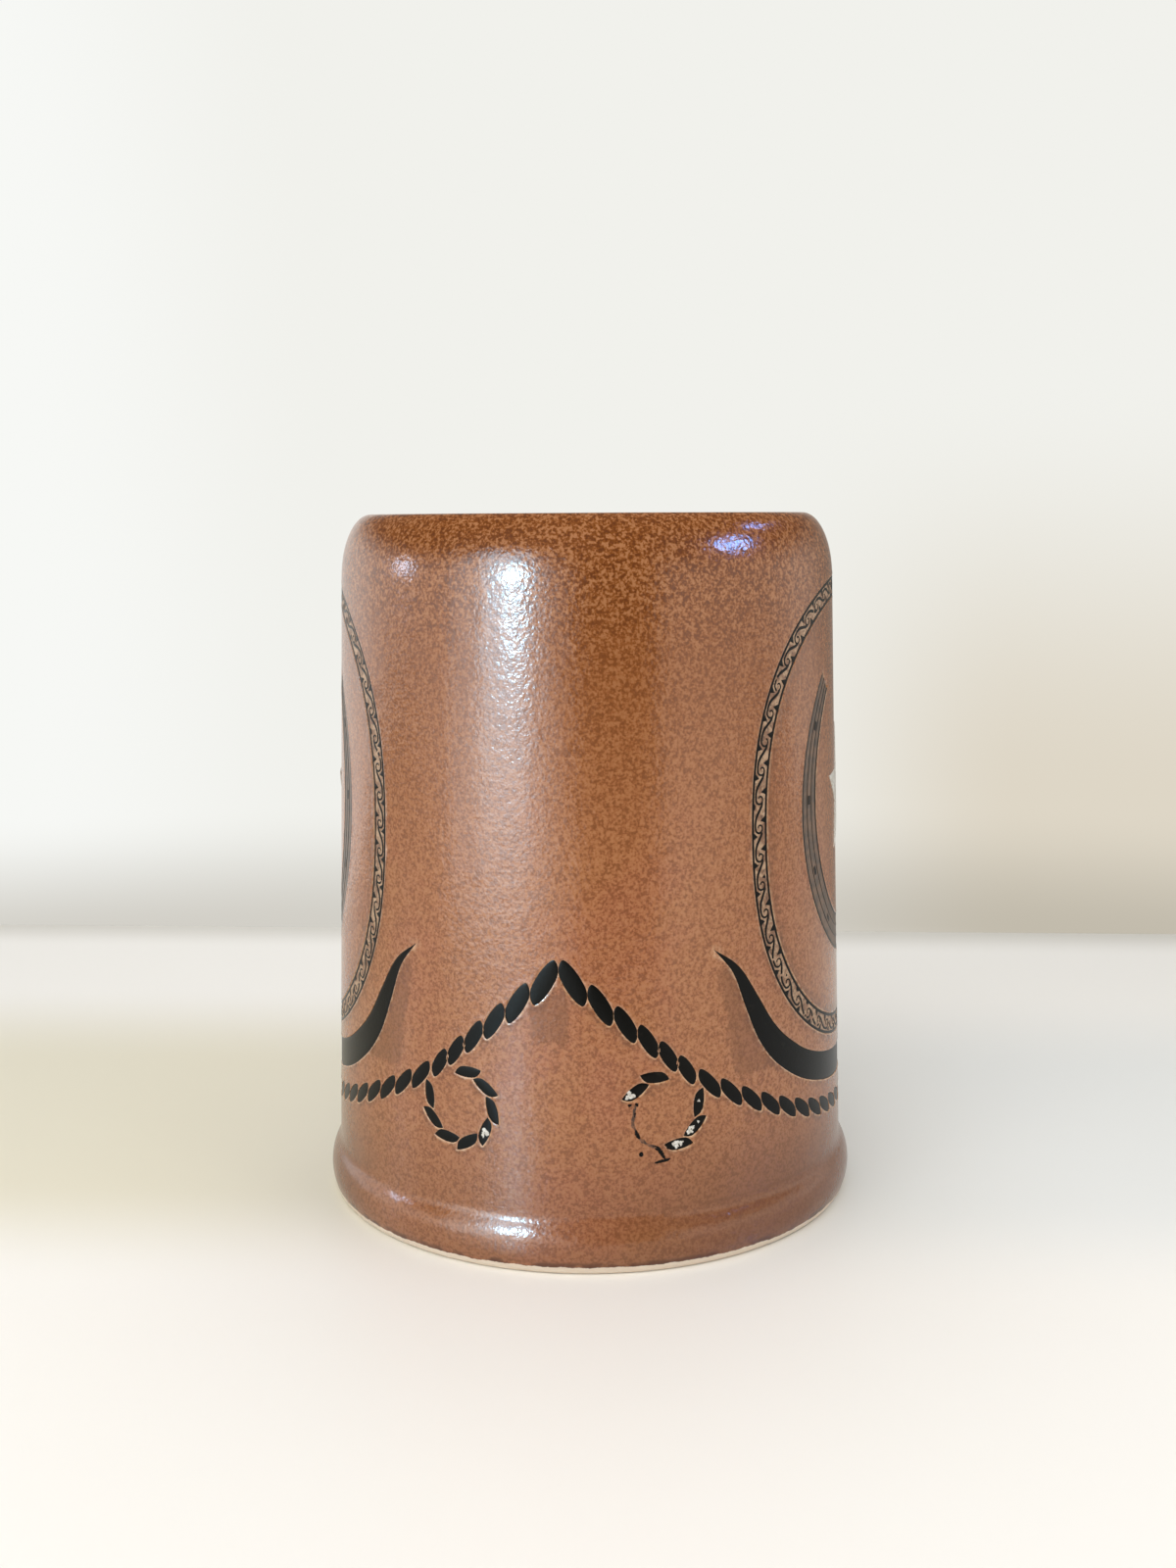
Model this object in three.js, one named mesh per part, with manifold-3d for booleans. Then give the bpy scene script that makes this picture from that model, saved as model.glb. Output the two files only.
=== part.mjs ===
// A stoneware mug of about 0.6 litre: a tapering body with a rounded shoulder and a beaded foot, a strap
// handle luted on behind with clay slip, and an ornament of black slip laid into pockets of the wall.
// Millimetres, Z up. The mug stands on Z = 0, its front faces -Y and its handle points to +Y.
import * as THREE from 'three';
import { mergeVertices } from 'three/addons/utils/BufferGeometryUtils.js';
import Module from 'manifold-3d';

const wasm = await Module();
wasm.setup();

// Driving dimensions of the body
const MUG_HEIGHT = 127;
const WALL_RADIUS_LOW = 48.4; // outside, where the wall rises from the foot bead
const WALL_RADIUS_HIGH = 45.4; // outside, where the shoulder starts
const WALL_THICKNESS = 6.8;
const SHOULDER_HEIGHT = 12;
const LIP_INNER_ROUND = 1.2;
const LIP_INNER_ROUND_HEIGHT = 3;
const BEAD_STAND_OUT = 1.8; // the foot is widest here, this far beyond the wall above it
const BEAD_CENTRE_HEIGHT = 4.2;
const BEAD_ROUND = 8;
const CREASE_ROUND = 4; // hollow round between the bead and the wall
const FOOT_RING_WIDTH = 5;
const FOOT_RING_SLOPE = 1.2;
const FOOT_RECESS = 2.2;
const FLOOR_THICKNESS = 6.5;
const INNER_CORNER_ROUND = 9;

// Driving dimensions of the handle and of the slip that holds it
const HANDLE_REACH = 37; // from the wall's lower edge to the outside of the strap
const HANDLE_BELOW_RIM = 27; // from the rim to the middle of the upper root
const HANDLE_LOW_HEIGHT = 45; // middle of the lower root
const HANDLE_CROWN = 5; // how far the strap rises above its upper root
const ROOT_DEPTH = 4; // how far the strap's middle line is drawn into the wall before it is trimmed
const STRAP_WIDTH = 19;
const STRAP_THICKNESS = 10;
const STRAP_SQUARENESS = 2.6; // 2 is an ellipse, more is squarer
const ROOT_WIDTH_GAIN = 4; // extra width of the strap at its upper root
const ROOT_THICKNESS_GAIN = 3;
const SLIP_THICKNESS = 1.2;
const SLIP_FLARE = 3;
const SLIP_FLARE_LENGTH = 6;
const SLIP_EDGE = 0.5;
const JOINT_CLEARANCE = 0.3;

// Driving dimensions of the ornament. Distances are measured round the foot of the wall, from the front seam.
const POCKET_DEPTH = 1;
const INLAY_SINK = 0.15; // the black lies this far below the glaze
const INLAY_CLEARANCE = 0.2;
const TIP_GROWTH = 1.5; // a pocket's pointed end grows by this many times its clearance
const HANDLE_CLEARANCE = 2; // between the strap and the nearest strand of the back run
const ROPE_APEX_HEIGHT = 52.2;
const KNOT_DISTANCE = 24.4;
const KNOT_HEIGHT = 32.7;
const SWAG_BELOW_HORN = 4.5;
const LOOP_RADIUS = 6.35;
const LOOP_KNOT_GAP = 1.75; // between the knot and the loop's middle line
const LOOP_TILT = THREE.MathUtils.degToRad(39); // from the loop's centre up to the knot
const LOOP_FACING = THREE.MathUtils.degToRad(57); // the way that the loop is open, where the rope passes
const LOOP_OPENING = THREE.MathUtils.degToRad(97);
const RUN_KNOT_GAP = 0.7; // the straight run stops this far short of the knot
const APEX_STRAND_STRETCH = 1.5; // the strand at the apex is this many times as long as the one at the knot
const APEX_STRAND_WIDTH = 3.1;
const STRAND_WIDTH = 2.3;
const STRAND_OVERLAP = 1.3; // a strand is this many times as long as its own stretch of the rope
const LOOP_STRAND_WIDTH = 2;
const LOOP_STRAND_OVERLAP = 1.2;
const STRAND_FULLEST = 0.12; // its sides are fullest this far to either side of its middle, in half lengths
const ROPE_LAY = THREE.MathUtils.degToRad(27); // angle between a strand and its rope
const RUN_STRANDS = 6;
const SWAG_STRANDS = 22;
const LOOP_STRANDS = 8;
const MEDALLION_BELOW_RIM = 11.3; // from the rim to the band's upper edge
const MEDALLION_LOW_HEIGHT = 30.9; // the band's lower edge
const MEDALLION_HALF_WIDTH = 40.1;
const MEDALLION_SQUARENESS = 2.4; // 2 is an ellipse, more is squarer
const BAND_WIDTH = 3.7;
const HORN_GAP = 5.4; // from the band to the horn's middle line, under the medallion
const HORN_WIDTH = 5.2;
const HORN_POINTED_SHARE = 0.25; // of the whole length, at each tip
const SHOE_ABOVE_MIDDLE = 2.7;
const SHOE_HALF_WIDTH = 23;
const SHOE_HALF_HEIGHT = 27;
const SHOE_TOE_WIDTH = 6.6;
const SHOE_HEEL_WIDTH = 4.4;
const SHOE_OPENING = THREE.MathUtils.degToRad(76);

// The horn's middle line from its tip to its lowest place: degrees from straight down as seen from the middle
// of the medallion, and the distance from the band in shares of HORN_GAP
const HORN_COURSE = [
  [69, 1.96], [62.5, 1.35], [54.5, 1.24], [46.5, 1.33], [39, 1.31], [29, 1.18], [15.5, 1.02],
];

// The strap's middle line between its roots: shares of the way from the wall to the strap's outside, and
// heights in shares of HANDLE_CROWN above the upper root or of the span below it
const STRAP_SHOULDER = [[0.2, 0.4], [0.62, 0.55]];
const STRAP_DROP = [[0.96, 0.22], [0.98, 0.48], [0.72, 0.8], [0.28, 1.01]];

// How finely the round forms are divided
const WALL_SEGMENTS = 60;
const STRAP_SIDES = 14;
const STRAP_STEPS = 18;
const SLIP_STEPS = 4;
const BAND_STEPS = 40;
const HORN_STEPS = 24;
const SHOE_STEPS = 20;
const STRAND_STATIONS = [-1, -0.5, 0, 0.5, 1]; // shares of half a strand's length

// Colours and finishes
const glaze = new THREE.MeshStandardMaterial({ color: 0xa8754f, roughness: 0.32, metalness: 0 });
const slip = new THREE.MeshStandardMaterial({ color: 0x9a6a48, roughness: 0.38, metalness: 0 });
const black = new THREE.MeshStandardMaterial({ color: 0x26241f, roughness: 0.55, metalness: 0 });
const paleBand = new THREE.MeshStandardMaterial({ color: 0xa78b70, roughness: 0.5, metalness: 0 });

// What follows from the driving dimensions
const SHOULDER_START = MUG_HEIGHT - SHOULDER_HEIGHT;
const LIP_OUTER_ROUND = WALL_THICKNESS - LIP_INNER_ROUND;
const CREST_RADIUS = WALL_RADIUS_HIGH - LIP_OUTER_ROUND;
const CAVITY_FLOOR = FOOT_RECESS + FLOOR_THICKNESS;
const BEAD_AXIS_RADIUS = WALL_RADIUS_LOW + BEAD_STAND_OUT - BEAD_ROUND;
const CREASE_AXIS_RADIUS = WALL_RADIUS_LOW + CREASE_ROUND;
const CREASE_HEIGHT = BEAD_CENTRE_HEIGHT
  + Math.sqrt((BEAD_ROUND + CREASE_ROUND) ** 2 - (CREASE_AXIS_RADIUS - BEAD_AXIS_RADIUS) ** 2);
const FOOT_RADIUS = BEAD_AXIS_RADIUS + Math.sqrt(BEAD_ROUND ** 2 - BEAD_CENTRE_HEIGHT ** 2);
const QUARTER_TURN = WALL_RADIUS_LOW * Math.PI / 2; // from the seam to the middle of a medallion
const HANDLE_TOP_HEIGHT = MUG_HEIGHT - HANDLE_BELOW_RIM;
const MEDALLION_TOP_HEIGHT = MUG_HEIGHT - MEDALLION_BELOW_RIM;
const MEDALLION_HEIGHT = (MEDALLION_TOP_HEIGHT + MEDALLION_LOW_HEIGHT) / 2;
const MEDALLION_HALF_HEIGHT = (MEDALLION_TOP_HEIGHT - MEDALLION_LOW_HEIGHT) / 2;
const SWAG_LOW_HEIGHT = MEDALLION_LOW_HEIGHT - HORN_GAP - HORN_WIDTH / 2 - SWAG_BELOW_HORN;

// The middle line of the swag that hangs from knot to knot under a medallion, a parabola
const SWAG = new THREE.QuadraticBezierCurve(
  new THREE.Vector2(KNOT_DISTANCE, KNOT_HEIGHT),
  new THREE.Vector2(QUARTER_TURN, 2 * SWAG_LOW_HEIGHT - KNOT_HEIGHT),
  new THREE.Vector2(2 * QUARTER_TURN - KNOT_DISTANCE, KNOT_HEIGHT),
);

// Outside radius of the plain wall, which tapers evenly from the crease to the shoulder
function wallRadius(height) {
  const share = (height - CREASE_HEIGHT) / (SHOULDER_START - CREASE_HEIGHT);
  return THREE.MathUtils.lerp(WALL_RADIUS_LOW, WALL_RADIUS_HIGH, share);
}

// Points of a round from one angle to another about a centre in the section plane (radius, height)
function roundPoints(radius, height, width, rise, from, to, steps) {
  const points = [];
  for (let step = 0; step <= steps; step += 1) {
    const angle = THREE.MathUtils.lerp(from, to, step / steps);
    points.push(new THREE.Vector2(radius + width * Math.cos(angle), height + rise * Math.sin(angle)));
  }
  return points;
}

// The outside of the mug in section, from the foot to the crest of the lip
function outsideSection() {
  const creaseTurn = Math.atan2(CREASE_HEIGHT - BEAD_CENTRE_HEIGHT, CREASE_AXIS_RADIUS - BEAD_AXIS_RADIUS);
  const footTurn = -Math.asin(BEAD_CENTRE_HEIGHT / BEAD_ROUND);
  const beadRound = (from, to, steps) => roundPoints(
    BEAD_AXIS_RADIUS, BEAD_CENTRE_HEIGHT, BEAD_ROUND, BEAD_ROUND, from, to, steps);
  const bead = [...beadRound(footTurn, 0, 2), ...beadRound(0, creaseTurn, 3).slice(1)];
  const crease = roundPoints(
    CREASE_AXIS_RADIUS, CREASE_HEIGHT, CREASE_ROUND, CREASE_ROUND, Math.PI + creaseTurn, Math.PI, 2);
  const shoulder = roundPoints(
    CREST_RADIUS, SHOULDER_START, LIP_OUTER_ROUND, SHOULDER_HEIGHT, 0, Math.PI / 2, 6);
  return [...bead, ...crease.slice(1), ...shoulder];
}

// The whole section of the body, from the axis under the foot to the axis on the cavity's floor
function bodySection() {
  const underside = [
    new THREE.Vector2(0, FOOT_RECESS),
    new THREE.Vector2(FOOT_RADIUS - FOOT_RING_WIDTH - FOOT_RING_SLOPE, FOOT_RECESS),
    new THREE.Vector2(FOOT_RADIUS - FOOT_RING_WIDTH, 0),
  ];
  const lipStart = MUG_HEIGHT - LIP_INNER_ROUND_HEIGHT;
  const lip = roundPoints(
    CREST_RADIUS, lipStart, LIP_INNER_ROUND, LIP_INNER_ROUND_HEIGHT, Math.PI / 2, Math.PI, 2);
  const cornerHeight = CAVITY_FLOOR + INNER_CORNER_ROUND;
  const cornerRadius = wallRadius(cornerHeight) - WALL_THICKNESS - INNER_CORNER_ROUND;
  const corner = roundPoints(
    cornerRadius, cornerHeight, INNER_CORNER_ROUND, INNER_CORNER_ROUND, 0, -Math.PI / 2, 4);
  const cavity = [
    new THREE.Vector2(WALL_RADIUS_HIGH - WALL_THICKNESS, SHOULDER_START),
    ...corner,
    new THREE.Vector2(0, CAVITY_FLOOR),
  ];
  return [...underside, ...outsideSection(), ...lip.slice(1), ...cavity];
}

// A turned solid about the Z axis
function turned(section) {
  const geometry = new THREE.LatheGeometry(section, WALL_SEGMENTS);
  geometry.rotateX(Math.PI / 2);
  return solidOf(geometry);
}

// The solid mug without its cavity, grown outward, which trims whatever is set against the wall
function wallBlank(grow) {
  const grown = outsideSection().map((point) => new THREE.Vector2(point.x + grow, point.y));
  const top = new THREE.Vector2(0, MUG_HEIGHT + grow);
  const bottom = new THREE.Vector2(0, -grow);
  return turned([bottom, ...grown, top]);
}

// A closed geometry as a solid for joining and cutting
function solidOf(geometry) {
  const bare = new THREE.BufferGeometry();
  bare.setAttribute('position', geometry.getAttribute('position').clone());
  if (geometry.index) {
    bare.setIndex(geometry.index.clone());
  }
  const merged = mergeVertices(bare, 1e-4);
  const index = merged.index.array;
  const triangles = [];
  for (let i = 0; i < index.length; i += 3) {
    const [a, b, c] = [index[i], index[i + 1], index[i + 2]];
    if (a !== b && b !== c && c !== a) {
      triangles.push(a, b, c);
    }
  }
  const vertProperties = new Float32Array(merged.getAttribute('position').array);
  const mesh = new wasm.Mesh({ numProp: 3, vertProperties, triVerts: new Uint32Array(triangles) });
  return new wasm.Manifold(mesh);
}

// A solid as a named mesh of the scene
function meshOf(name, solid, material) {
  const { vertProperties, triVerts } = solid.getMesh();
  const geometry = new THREE.BufferGeometry();
  geometry.setAttribute('position', new THREE.BufferAttribute(new Float32Array(vertProperties), 3));
  geometry.setIndex(new THREE.BufferAttribute(new Uint32Array(triVerts), 1));
  geometry.computeVertexNormals();
  const mesh = new THREE.Mesh(geometry, material);
  mesh.name = name;
  return mesh;
}

// A skin of quads over rings of equal length; the first and last rings are closed by flat caps
function loft(rings) {
  const sides = rings[0].length;
  const position = rings.flat().flatMap((point) => point.toArray());
  const index = [];
  for (let ring = 0; ring + 1 < rings.length; ring += 1) {
    for (let side = 0; side < sides; side += 1) {
      const a = ring * sides + side;
      const b = ring * sides + (side + 1) % sides;
      index.push(a, b, b + sides, a, b + sides, a + sides);
    }
  }
  const last = (rings.length - 1) * sides;
  for (let side = 1; side + 1 < sides; side += 1) {
    index.push(0, side + 1, side);
    index.push(last, last + side, last + side + 1);
  }
  const geometry = new THREE.BufferGeometry();
  geometry.setAttribute('position', new THREE.Float32BufferAttribute(position, 3));
  geometry.setIndex(index);
  return solidOf(geometry);
}

// A point of the flat layout (distance from the seam, height) wrapped onto the wall, raised by lift
function wrapped(point, lift) {
  const angle = point.x / WALL_RADIUS_LOW;
  const radius = wallRadius(point.y) + lift;
  return new THREE.Vector3(radius * Math.sin(angle), -radius * Math.cos(angle), point.y);
}

// A slab wrapped onto the wall between two edges of the flat layout that run side by side
function wrappedSlab(leftEdge, rightEdge, top, bottom, closed = false) {
  const rings = leftEdge.map((left, i) => [
    wrapped(left, top), wrapped(rightEdge[i], top), wrapped(rightEdge[i], bottom), wrapped(left, bottom),
  ]);
  if (!closed) {
    return loft(rings);
  }
  const half = rings.length / 2;
  const first = loft(rings.slice(0, half + 1));
  const second = loft([...rings.slice(half), rings[0]]);
  return first.add(second);
}

// The pocket and the inlay of one piece of ornament; edges(grow) gives its two edges, grown by a clearance
function inlayPair(edges, closed = false) {
  const pocket = wrappedSlab(...edges(INLAY_CLEARANCE), POCKET_DEPTH, -POCKET_DEPTH, closed);
  const inlay = wrappedSlab(...edges(0), -INLAY_SINK, INLAY_CLEARANCE - POCKET_DEPTH, closed);
  return { pocket, inlay };
}

// The same edges on the other half of the mug; they change places, so that the slab keeps its outside out
function onSide(edges, side) {
  if (side > 0) {
    return edges;
  }
  const flip = (edge) => edge.map((point) => new THREE.Vector2(-point.x, point.y));
  return (grow) => {
    const [left, right] = edges(grow);
    return [flip(right), flip(left)];
  };
}

// How far one side of a strand swells at a share of its length: the strand is a leaf, pointed at both ends
function leafSide(share) {
  const rising = (share + 1) / (1 + STRAND_FULLEST);
  const falling = (1 - share) / (1 - STRAND_FULLEST);
  return Math.sin(Math.PI / 2 * Math.min(rising, falling, 1));
}

// The two edges of a strand whose rope runs in direction heading through centre
function strandEdges(centre, heading, length, width, lay) {
  const along = new THREE.Vector2(Math.cos(heading - lay), Math.sin(heading - lay));
  const across = new THREE.Vector2(-along.y, along.x);
  return (grow) => {
    const halfLength = length / 2 + TIP_GROWTH * grow;
    const halfWidth = width / 2 + grow;
    const edge = (share, side) => centre.clone()
      .addScaledVector(along, share * halfLength)
      .addScaledVector(across, side * halfWidth * leafSide(side * share));
    return [STRAND_STATIONS.map((share) => edge(share, 1)), STRAND_STATIONS.map((share) => edge(share, -1))];
  };
}

// A ribbon along a curve of the flat layout, with its half width given along it
function ribbonEdges(curve, steps, halfWidth) {
  return (grow) => {
    const left = [];
    const right = [];
    for (let step = 0; step <= steps; step += 1) {
      const share = step / steps;
      const point = curve.getPointAt(share);
      const along = curve.getTangentAt(share);
      const across = new THREE.Vector2(-along.y, along.x);
      const end = Number(step === steps) - Number(step === 0);
      point.addScaledVector(along, end * TIP_GROWTH * grow);
      const half = halfWidth(share) + (halfWidth(share) > 0 ? grow : 0);
      left.push(point.clone().addScaledVector(across, half));
      right.push(point.clone().addScaledVector(across, -half));
    }
    return [left, right];
  };
}

// Strands of the straight run from the seam to the knot, long ones first
function runStrands() {
  const apex = new THREE.Vector2(0, ROPE_APEX_HEIGHT);
  const knot = new THREE.Vector2(KNOT_DISTANCE, KNOT_HEIGHT);
  const heading = knot.clone().sub(apex).angle();
  const runLength = apex.distanceTo(knot);
  const taper = (i, apexSize, size, power) => size + (apexSize - size) * (1 - i / (RUN_STRANDS - 1)) ** power;
  const weights = Array.from({ length: RUN_STRANDS }, (_, i) => taper(i, APEX_STRAND_STRETCH, 1, 1.5));
  const total = weights.reduce((sum, weight) => sum + weight, 0);
  let travelled = 0;
  return weights.map((weight, i) => {
    const stretch = (runLength - RUN_KNOT_GAP) * weight / total;
    const centre = apex.clone().lerp(knot, (travelled + stretch / 2) / runLength);
    travelled += stretch;
    const width = taper(i, APEX_STRAND_WIDTH, STRAND_WIDTH, 2);
    return { centre, heading, length: stretch * STRAND_OVERLAP, width };
  });
}

// Strands of the swag
function swagStrands() {
  const length = SWAG.getLength() / SWAG_STRANDS * STRAND_OVERLAP;
  return Array.from({ length: SWAG_STRANDS }, (_, i) => {
    const share = (i + 0.5) / SWAG_STRANDS;
    const heading = SWAG.getTangentAt(share).angle();
    return { centre: SWAG.getPointAt(share), heading, length, width: STRAND_WIDTH };
  });
}

// Strands of the loop below the knot, running anticlockwise
function loopStrands() {
  const direction = (angle) => new THREE.Vector2(Math.cos(angle), Math.sin(angle));
  const middle = new THREE.Vector2(KNOT_DISTANCE, KNOT_HEIGHT)
    .addScaledVector(direction(LOOP_TILT), -LOOP_RADIUS - LOOP_KNOT_GAP);
  const start = LOOP_FACING + LOOP_OPENING / 2;
  const step = (2 * Math.PI - LOOP_OPENING) / (LOOP_STRANDS - 1);
  const length = LOOP_RADIUS * step * LOOP_STRAND_OVERLAP;
  return Array.from({ length: LOOP_STRANDS }, (_, i) => {
    const angle = start + step * i;
    const centre = middle.clone().addScaledVector(direction(angle), LOOP_RADIUS);
    return { centre, heading: angle + Math.PI / 2, length, width: LOOP_STRAND_WIDTH };
  });
}

// The same strand at the back of the mug, mirrored about the middle of the medallion but with the same lay
function atBack(strand) {
  const centre = new THREE.Vector2(2 * QUARTER_TURN - strand.centre.x, strand.centre.y);
  return { ...strand, centre, heading: Math.PI - strand.heading };
}

// The oval outline of a medallion at one angle
function ovalPoint(angle, halfWidth, halfHeight) {
  const power = 2 / MEDALLION_SQUARENESS;
  const [c, s] = [Math.cos(angle), Math.sin(angle)];
  return new THREE.Vector2(
    QUARTER_TURN + halfWidth * Math.sign(c) * Math.abs(c) ** power,
    MEDALLION_HEIGHT + halfHeight * Math.sign(s) * Math.abs(s) ** power,
  );
}

// The flat band round a medallion
function bandEdges(grow) {
  const angles = Array.from({ length: BAND_STEPS }, (_, i) => 2 * Math.PI * i / BAND_STEPS);
  const oval = (offset) => angles.map((angle) => (
    ovalPoint(angle, MEDALLION_HALF_WIDTH + offset, MEDALLION_HALF_HEIGHT + offset)));
  return [oval(-BAND_WIDTH - grow), oval(grow)];
}

// A point of the horn's middle line, on the half nearer the seam
function hornPoint([degrees, gapShare]) {
  const turn = THREE.MathUtils.degToRad(degrees);
  const direction = new THREE.Vector2(-Math.sin(turn), -Math.cos(turn));
  const ovalReach = (Math.abs(direction.x / MEDALLION_HALF_WIDTH) ** MEDALLION_SQUARENESS
    + Math.abs(direction.y / MEDALLION_HALF_HEIGHT) ** MEDALLION_SQUARENESS) ** (-1 / MEDALLION_SQUARENESS);
  const middle = new THREE.Vector2(QUARTER_TURN, MEDALLION_HEIGHT);
  return middle.addScaledVector(direction, ovalReach + gapShare * HORN_GAP);
}

// The crescent of two horns that cradles a medallion
function hornEdges() {
  const half = HORN_COURSE.map(hornPoint);
  const low = hornPoint([0, 1]);
  const otherHalf = half.map((point) => new THREE.Vector2(2 * QUARTER_TURN - point.x, point.y)).reverse();
  const spine = new THREE.SplineCurve([...half, low, ...otherHalf]);
  const halfWidth = (share) => {
    const fromTip = Math.min(share, 1 - share);
    return HORN_WIDTH / 2 * Math.sin(Math.PI / 2 * Math.min(1, fromTip / HORN_POINTED_SHARE));
  };
  return ribbonEdges(spine, HORN_STEPS, halfWidth);
}

// The horseshoe in the middle of a medallion, open at the top
function shoeEdges() {
  const start = Math.PI / 2 + SHOE_OPENING / 2;
  const end = start + 2 * Math.PI - SHOE_OPENING;
  const middle = MEDALLION_HEIGHT + SHOE_ABOVE_MIDDLE;
  const spine = new THREE.EllipseCurve(QUARTER_TURN, middle, SHOE_HALF_WIDTH, SHOE_HALF_HEIGHT, start, end);
  const halfWidth = (share) => {
    const toe = Math.sin(Math.PI * share);
    return THREE.MathUtils.lerp(SHOE_HEEL_WIDTH, SHOE_TOE_WIDTH, toe) / 2;
  };
  return ribbonEdges(spine, SHOE_STEPS, halfWidth);
}

// The ornament of one half of the mug: inlays that are pieces of their own, and pockets for the rest
function ornament(side) {
  const word = side > 0 ? 'right' : 'left';
  const meshes = [];
  const pockets = [];
  const add = (name, edges, material, closed = false) => {
    const { pocket, inlay } = inlayPair(onSide(edges, side), closed);
    pockets.push(pocket);
    if (name) {
      meshes.push(meshOf(`${name}_${word}`, inlay, material));
    }
  };
  const addStrand = (name, strand) => {
    const edges = strandEdges(strand.centre, strand.heading, strand.length, strand.width, ROPE_LAY);
    add(name, edges, black);
  };
  add('medallion_band', bandEdges, paleBand, true);
  add('horseshoe_inlay', shoeEdges(), black);
  add('horn_inlay', hornEdges(), black);
  runStrands().forEach((strand, i) => {
    addStrand(`rope_run_strand_${i + 1}`, strand);
  });
  loopStrands().forEach((strand, i) => {
    addStrand(`rope_loop_strand_${i + 1}`, strand);
    addStrand(null, atBack(strand));
  });
  swagStrands().forEach((strand, i) => {
    const atFront = i < SWAG_STRANDS / 2;
    addStrand(atFront ? `rope_swag_strand_${i + 1}` : null, strand);
  });
  runStrands().map(atBack).filter(clearOfHandle).forEach((strand) => {
    addStrand(null, strand);
  });
  return { meshes, pockets };
}

// The back run stops where the lower root of the handle covers the wall
function clearOfHandle(strand) {
  const fromBackSeam = 2 * QUARTER_TURN - strand.centre.x;
  return fromBackSeam - strand.length / 2 > STRAP_WIDTH / 2 + HANDLE_CLEARANCE;
}

// The middle line of the strap, from inside the wall at the upper root to inside the wall at the lower root
function handleSpine() {
  const upperWall = wallRadius(HANDLE_TOP_HEIGHT);
  const lowerWall = wallRadius(HANDLE_LOW_HEIGHT);
  const outside = WALL_RADIUS_LOW + HANDLE_REACH - STRAP_THICKNESS / 2;
  const span = HANDLE_TOP_HEIGHT - HANDLE_LOW_HEIGHT;
  const points = [
    [upperWall - ROOT_DEPTH, HANDLE_TOP_HEIGHT],
    ...STRAP_SHOULDER.map(([reach, rise]) => [
      THREE.MathUtils.lerp(upperWall, outside, reach), HANDLE_TOP_HEIGHT + rise * HANDLE_CROWN]),
    ...STRAP_DROP.map(([reach, drop]) => [
      THREE.MathUtils.lerp(lowerWall, outside, reach), HANDLE_TOP_HEIGHT - drop * span]),
    [lowerWall - ROOT_DEPTH, HANDLE_LOW_HEIGHT],
  ];
  return new THREE.CatmullRomCurve3(points.map(([y, z]) => new THREE.Vector3(0, y, z)), false, 'centripetal');
}

// One cross-section of the strap: a flat oval that widens towards its roots
function strapRing(spine, share, grow) {
  const centre = spine.getPointAt(share);
  const along = spine.getTangentAt(share);
  const outward = new THREE.Vector3(0, -along.z, along.y).negate();
  const swelling = (1 - share) ** 3 + share ** 5 / 2; // full at the upper root, half as much at the lower
  const halfWidth = (STRAP_WIDTH + ROOT_WIDTH_GAIN * swelling) / 2 + grow;
  const halfThickness = (STRAP_THICKNESS + ROOT_THICKNESS_GAIN * swelling) / 2 + grow;
  const power = 2 / STRAP_SQUARENESS;
  return Array.from({ length: STRAP_SIDES }, (_, i) => {
    const angle = 2 * Math.PI * i / STRAP_SIDES;
    const [c, s] = [Math.cos(angle), Math.sin(angle)];
    return centre.clone()
      .add(new THREE.Vector3(halfWidth * Math.sign(c) * Math.abs(c) ** power, 0, 0))
      .addScaledVector(outward, halfThickness * Math.sign(s) * Math.abs(s) ** power);
  });
}

// The strap, swept along its spine
function strap(spine, grow) {
  const rings = [];
  for (let step = 0; step <= STRAP_STEPS; step += 1) {
    rings.push(strapRing(spine, step / STRAP_STEPS, grow));
  }
  return loft(rings);
}

// The flared slip round one root of the strap, before the wall and the strap are cut from it
function slipFlare(spine, fromEnd) {
  const length = spine.getLength();
  const rings = [];
  for (let step = 0; step <= SLIP_STEPS; step += 1) {
    const distance = (ROOT_DEPTH + SLIP_FLARE_LENGTH) * step / SLIP_STEPS;
    const beyondWall = Math.max(0, distance - ROOT_DEPTH) / SLIP_FLARE_LENGTH;
    const flare = SLIP_EDGE + JOINT_CLEARANCE + (SLIP_FLARE - SLIP_EDGE) * (1 - beyondWall) ** 2;
    const share = distance / length;
    rings.push(strapRing(spine, fromEnd ? 1 - share : share, flare));
  }
  return loft(fromEnd ? rings.reverse() : rings);
}

// The handle with its two slip joints; each is a shallow cup that the end of the strap sits in
function handleMeshes() {
  const spine = handleSpine();
  const wallAndGap = wallBlank(JOINT_CLEARANCE);
  const wallAndSlip = wallBlank(JOINT_CLEARANCE + SLIP_THICKNESS);
  const handle = strap(spine, 0).subtract(wallBlank(2 * JOINT_CLEARANCE + SLIP_THICKNESS));
  const seat = strap(spine, JOINT_CLEARANCE).subtract(wallAndSlip);
  const upper = slipFlare(spine, false).subtract(wallAndGap).subtract(seat);
  const lower = slipFlare(spine, true).subtract(wallAndGap).subtract(seat);
  return [
    meshOf('strap_handle', handle, glaze),
    meshOf('upper_slip_joint', upper, slip),
    meshOf('lower_slip_joint', lower, slip),
  ];
}

// Assembly
const ornaments = [ornament(1), ornament(-1)];
const pockets = ornaments.flatMap((half) => half.pockets);
const body = wasm.Manifold.difference([turned(bodySection()), ...pockets]);

const mug = new THREE.Group();
mug.add(meshOf('cup_body', body, glaze));
mug.add(...handleMeshes());
mug.add(...ornaments.flatMap((half) => half.meshes));

// The part's origin is the middle of its footprint, handle included, on the surface that it stands on
const footprint = new THREE.Box3().setFromObject(mug);
mug.position.y = -(footprint.min.y + footprint.max.y) / 2;

export default mug;
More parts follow.
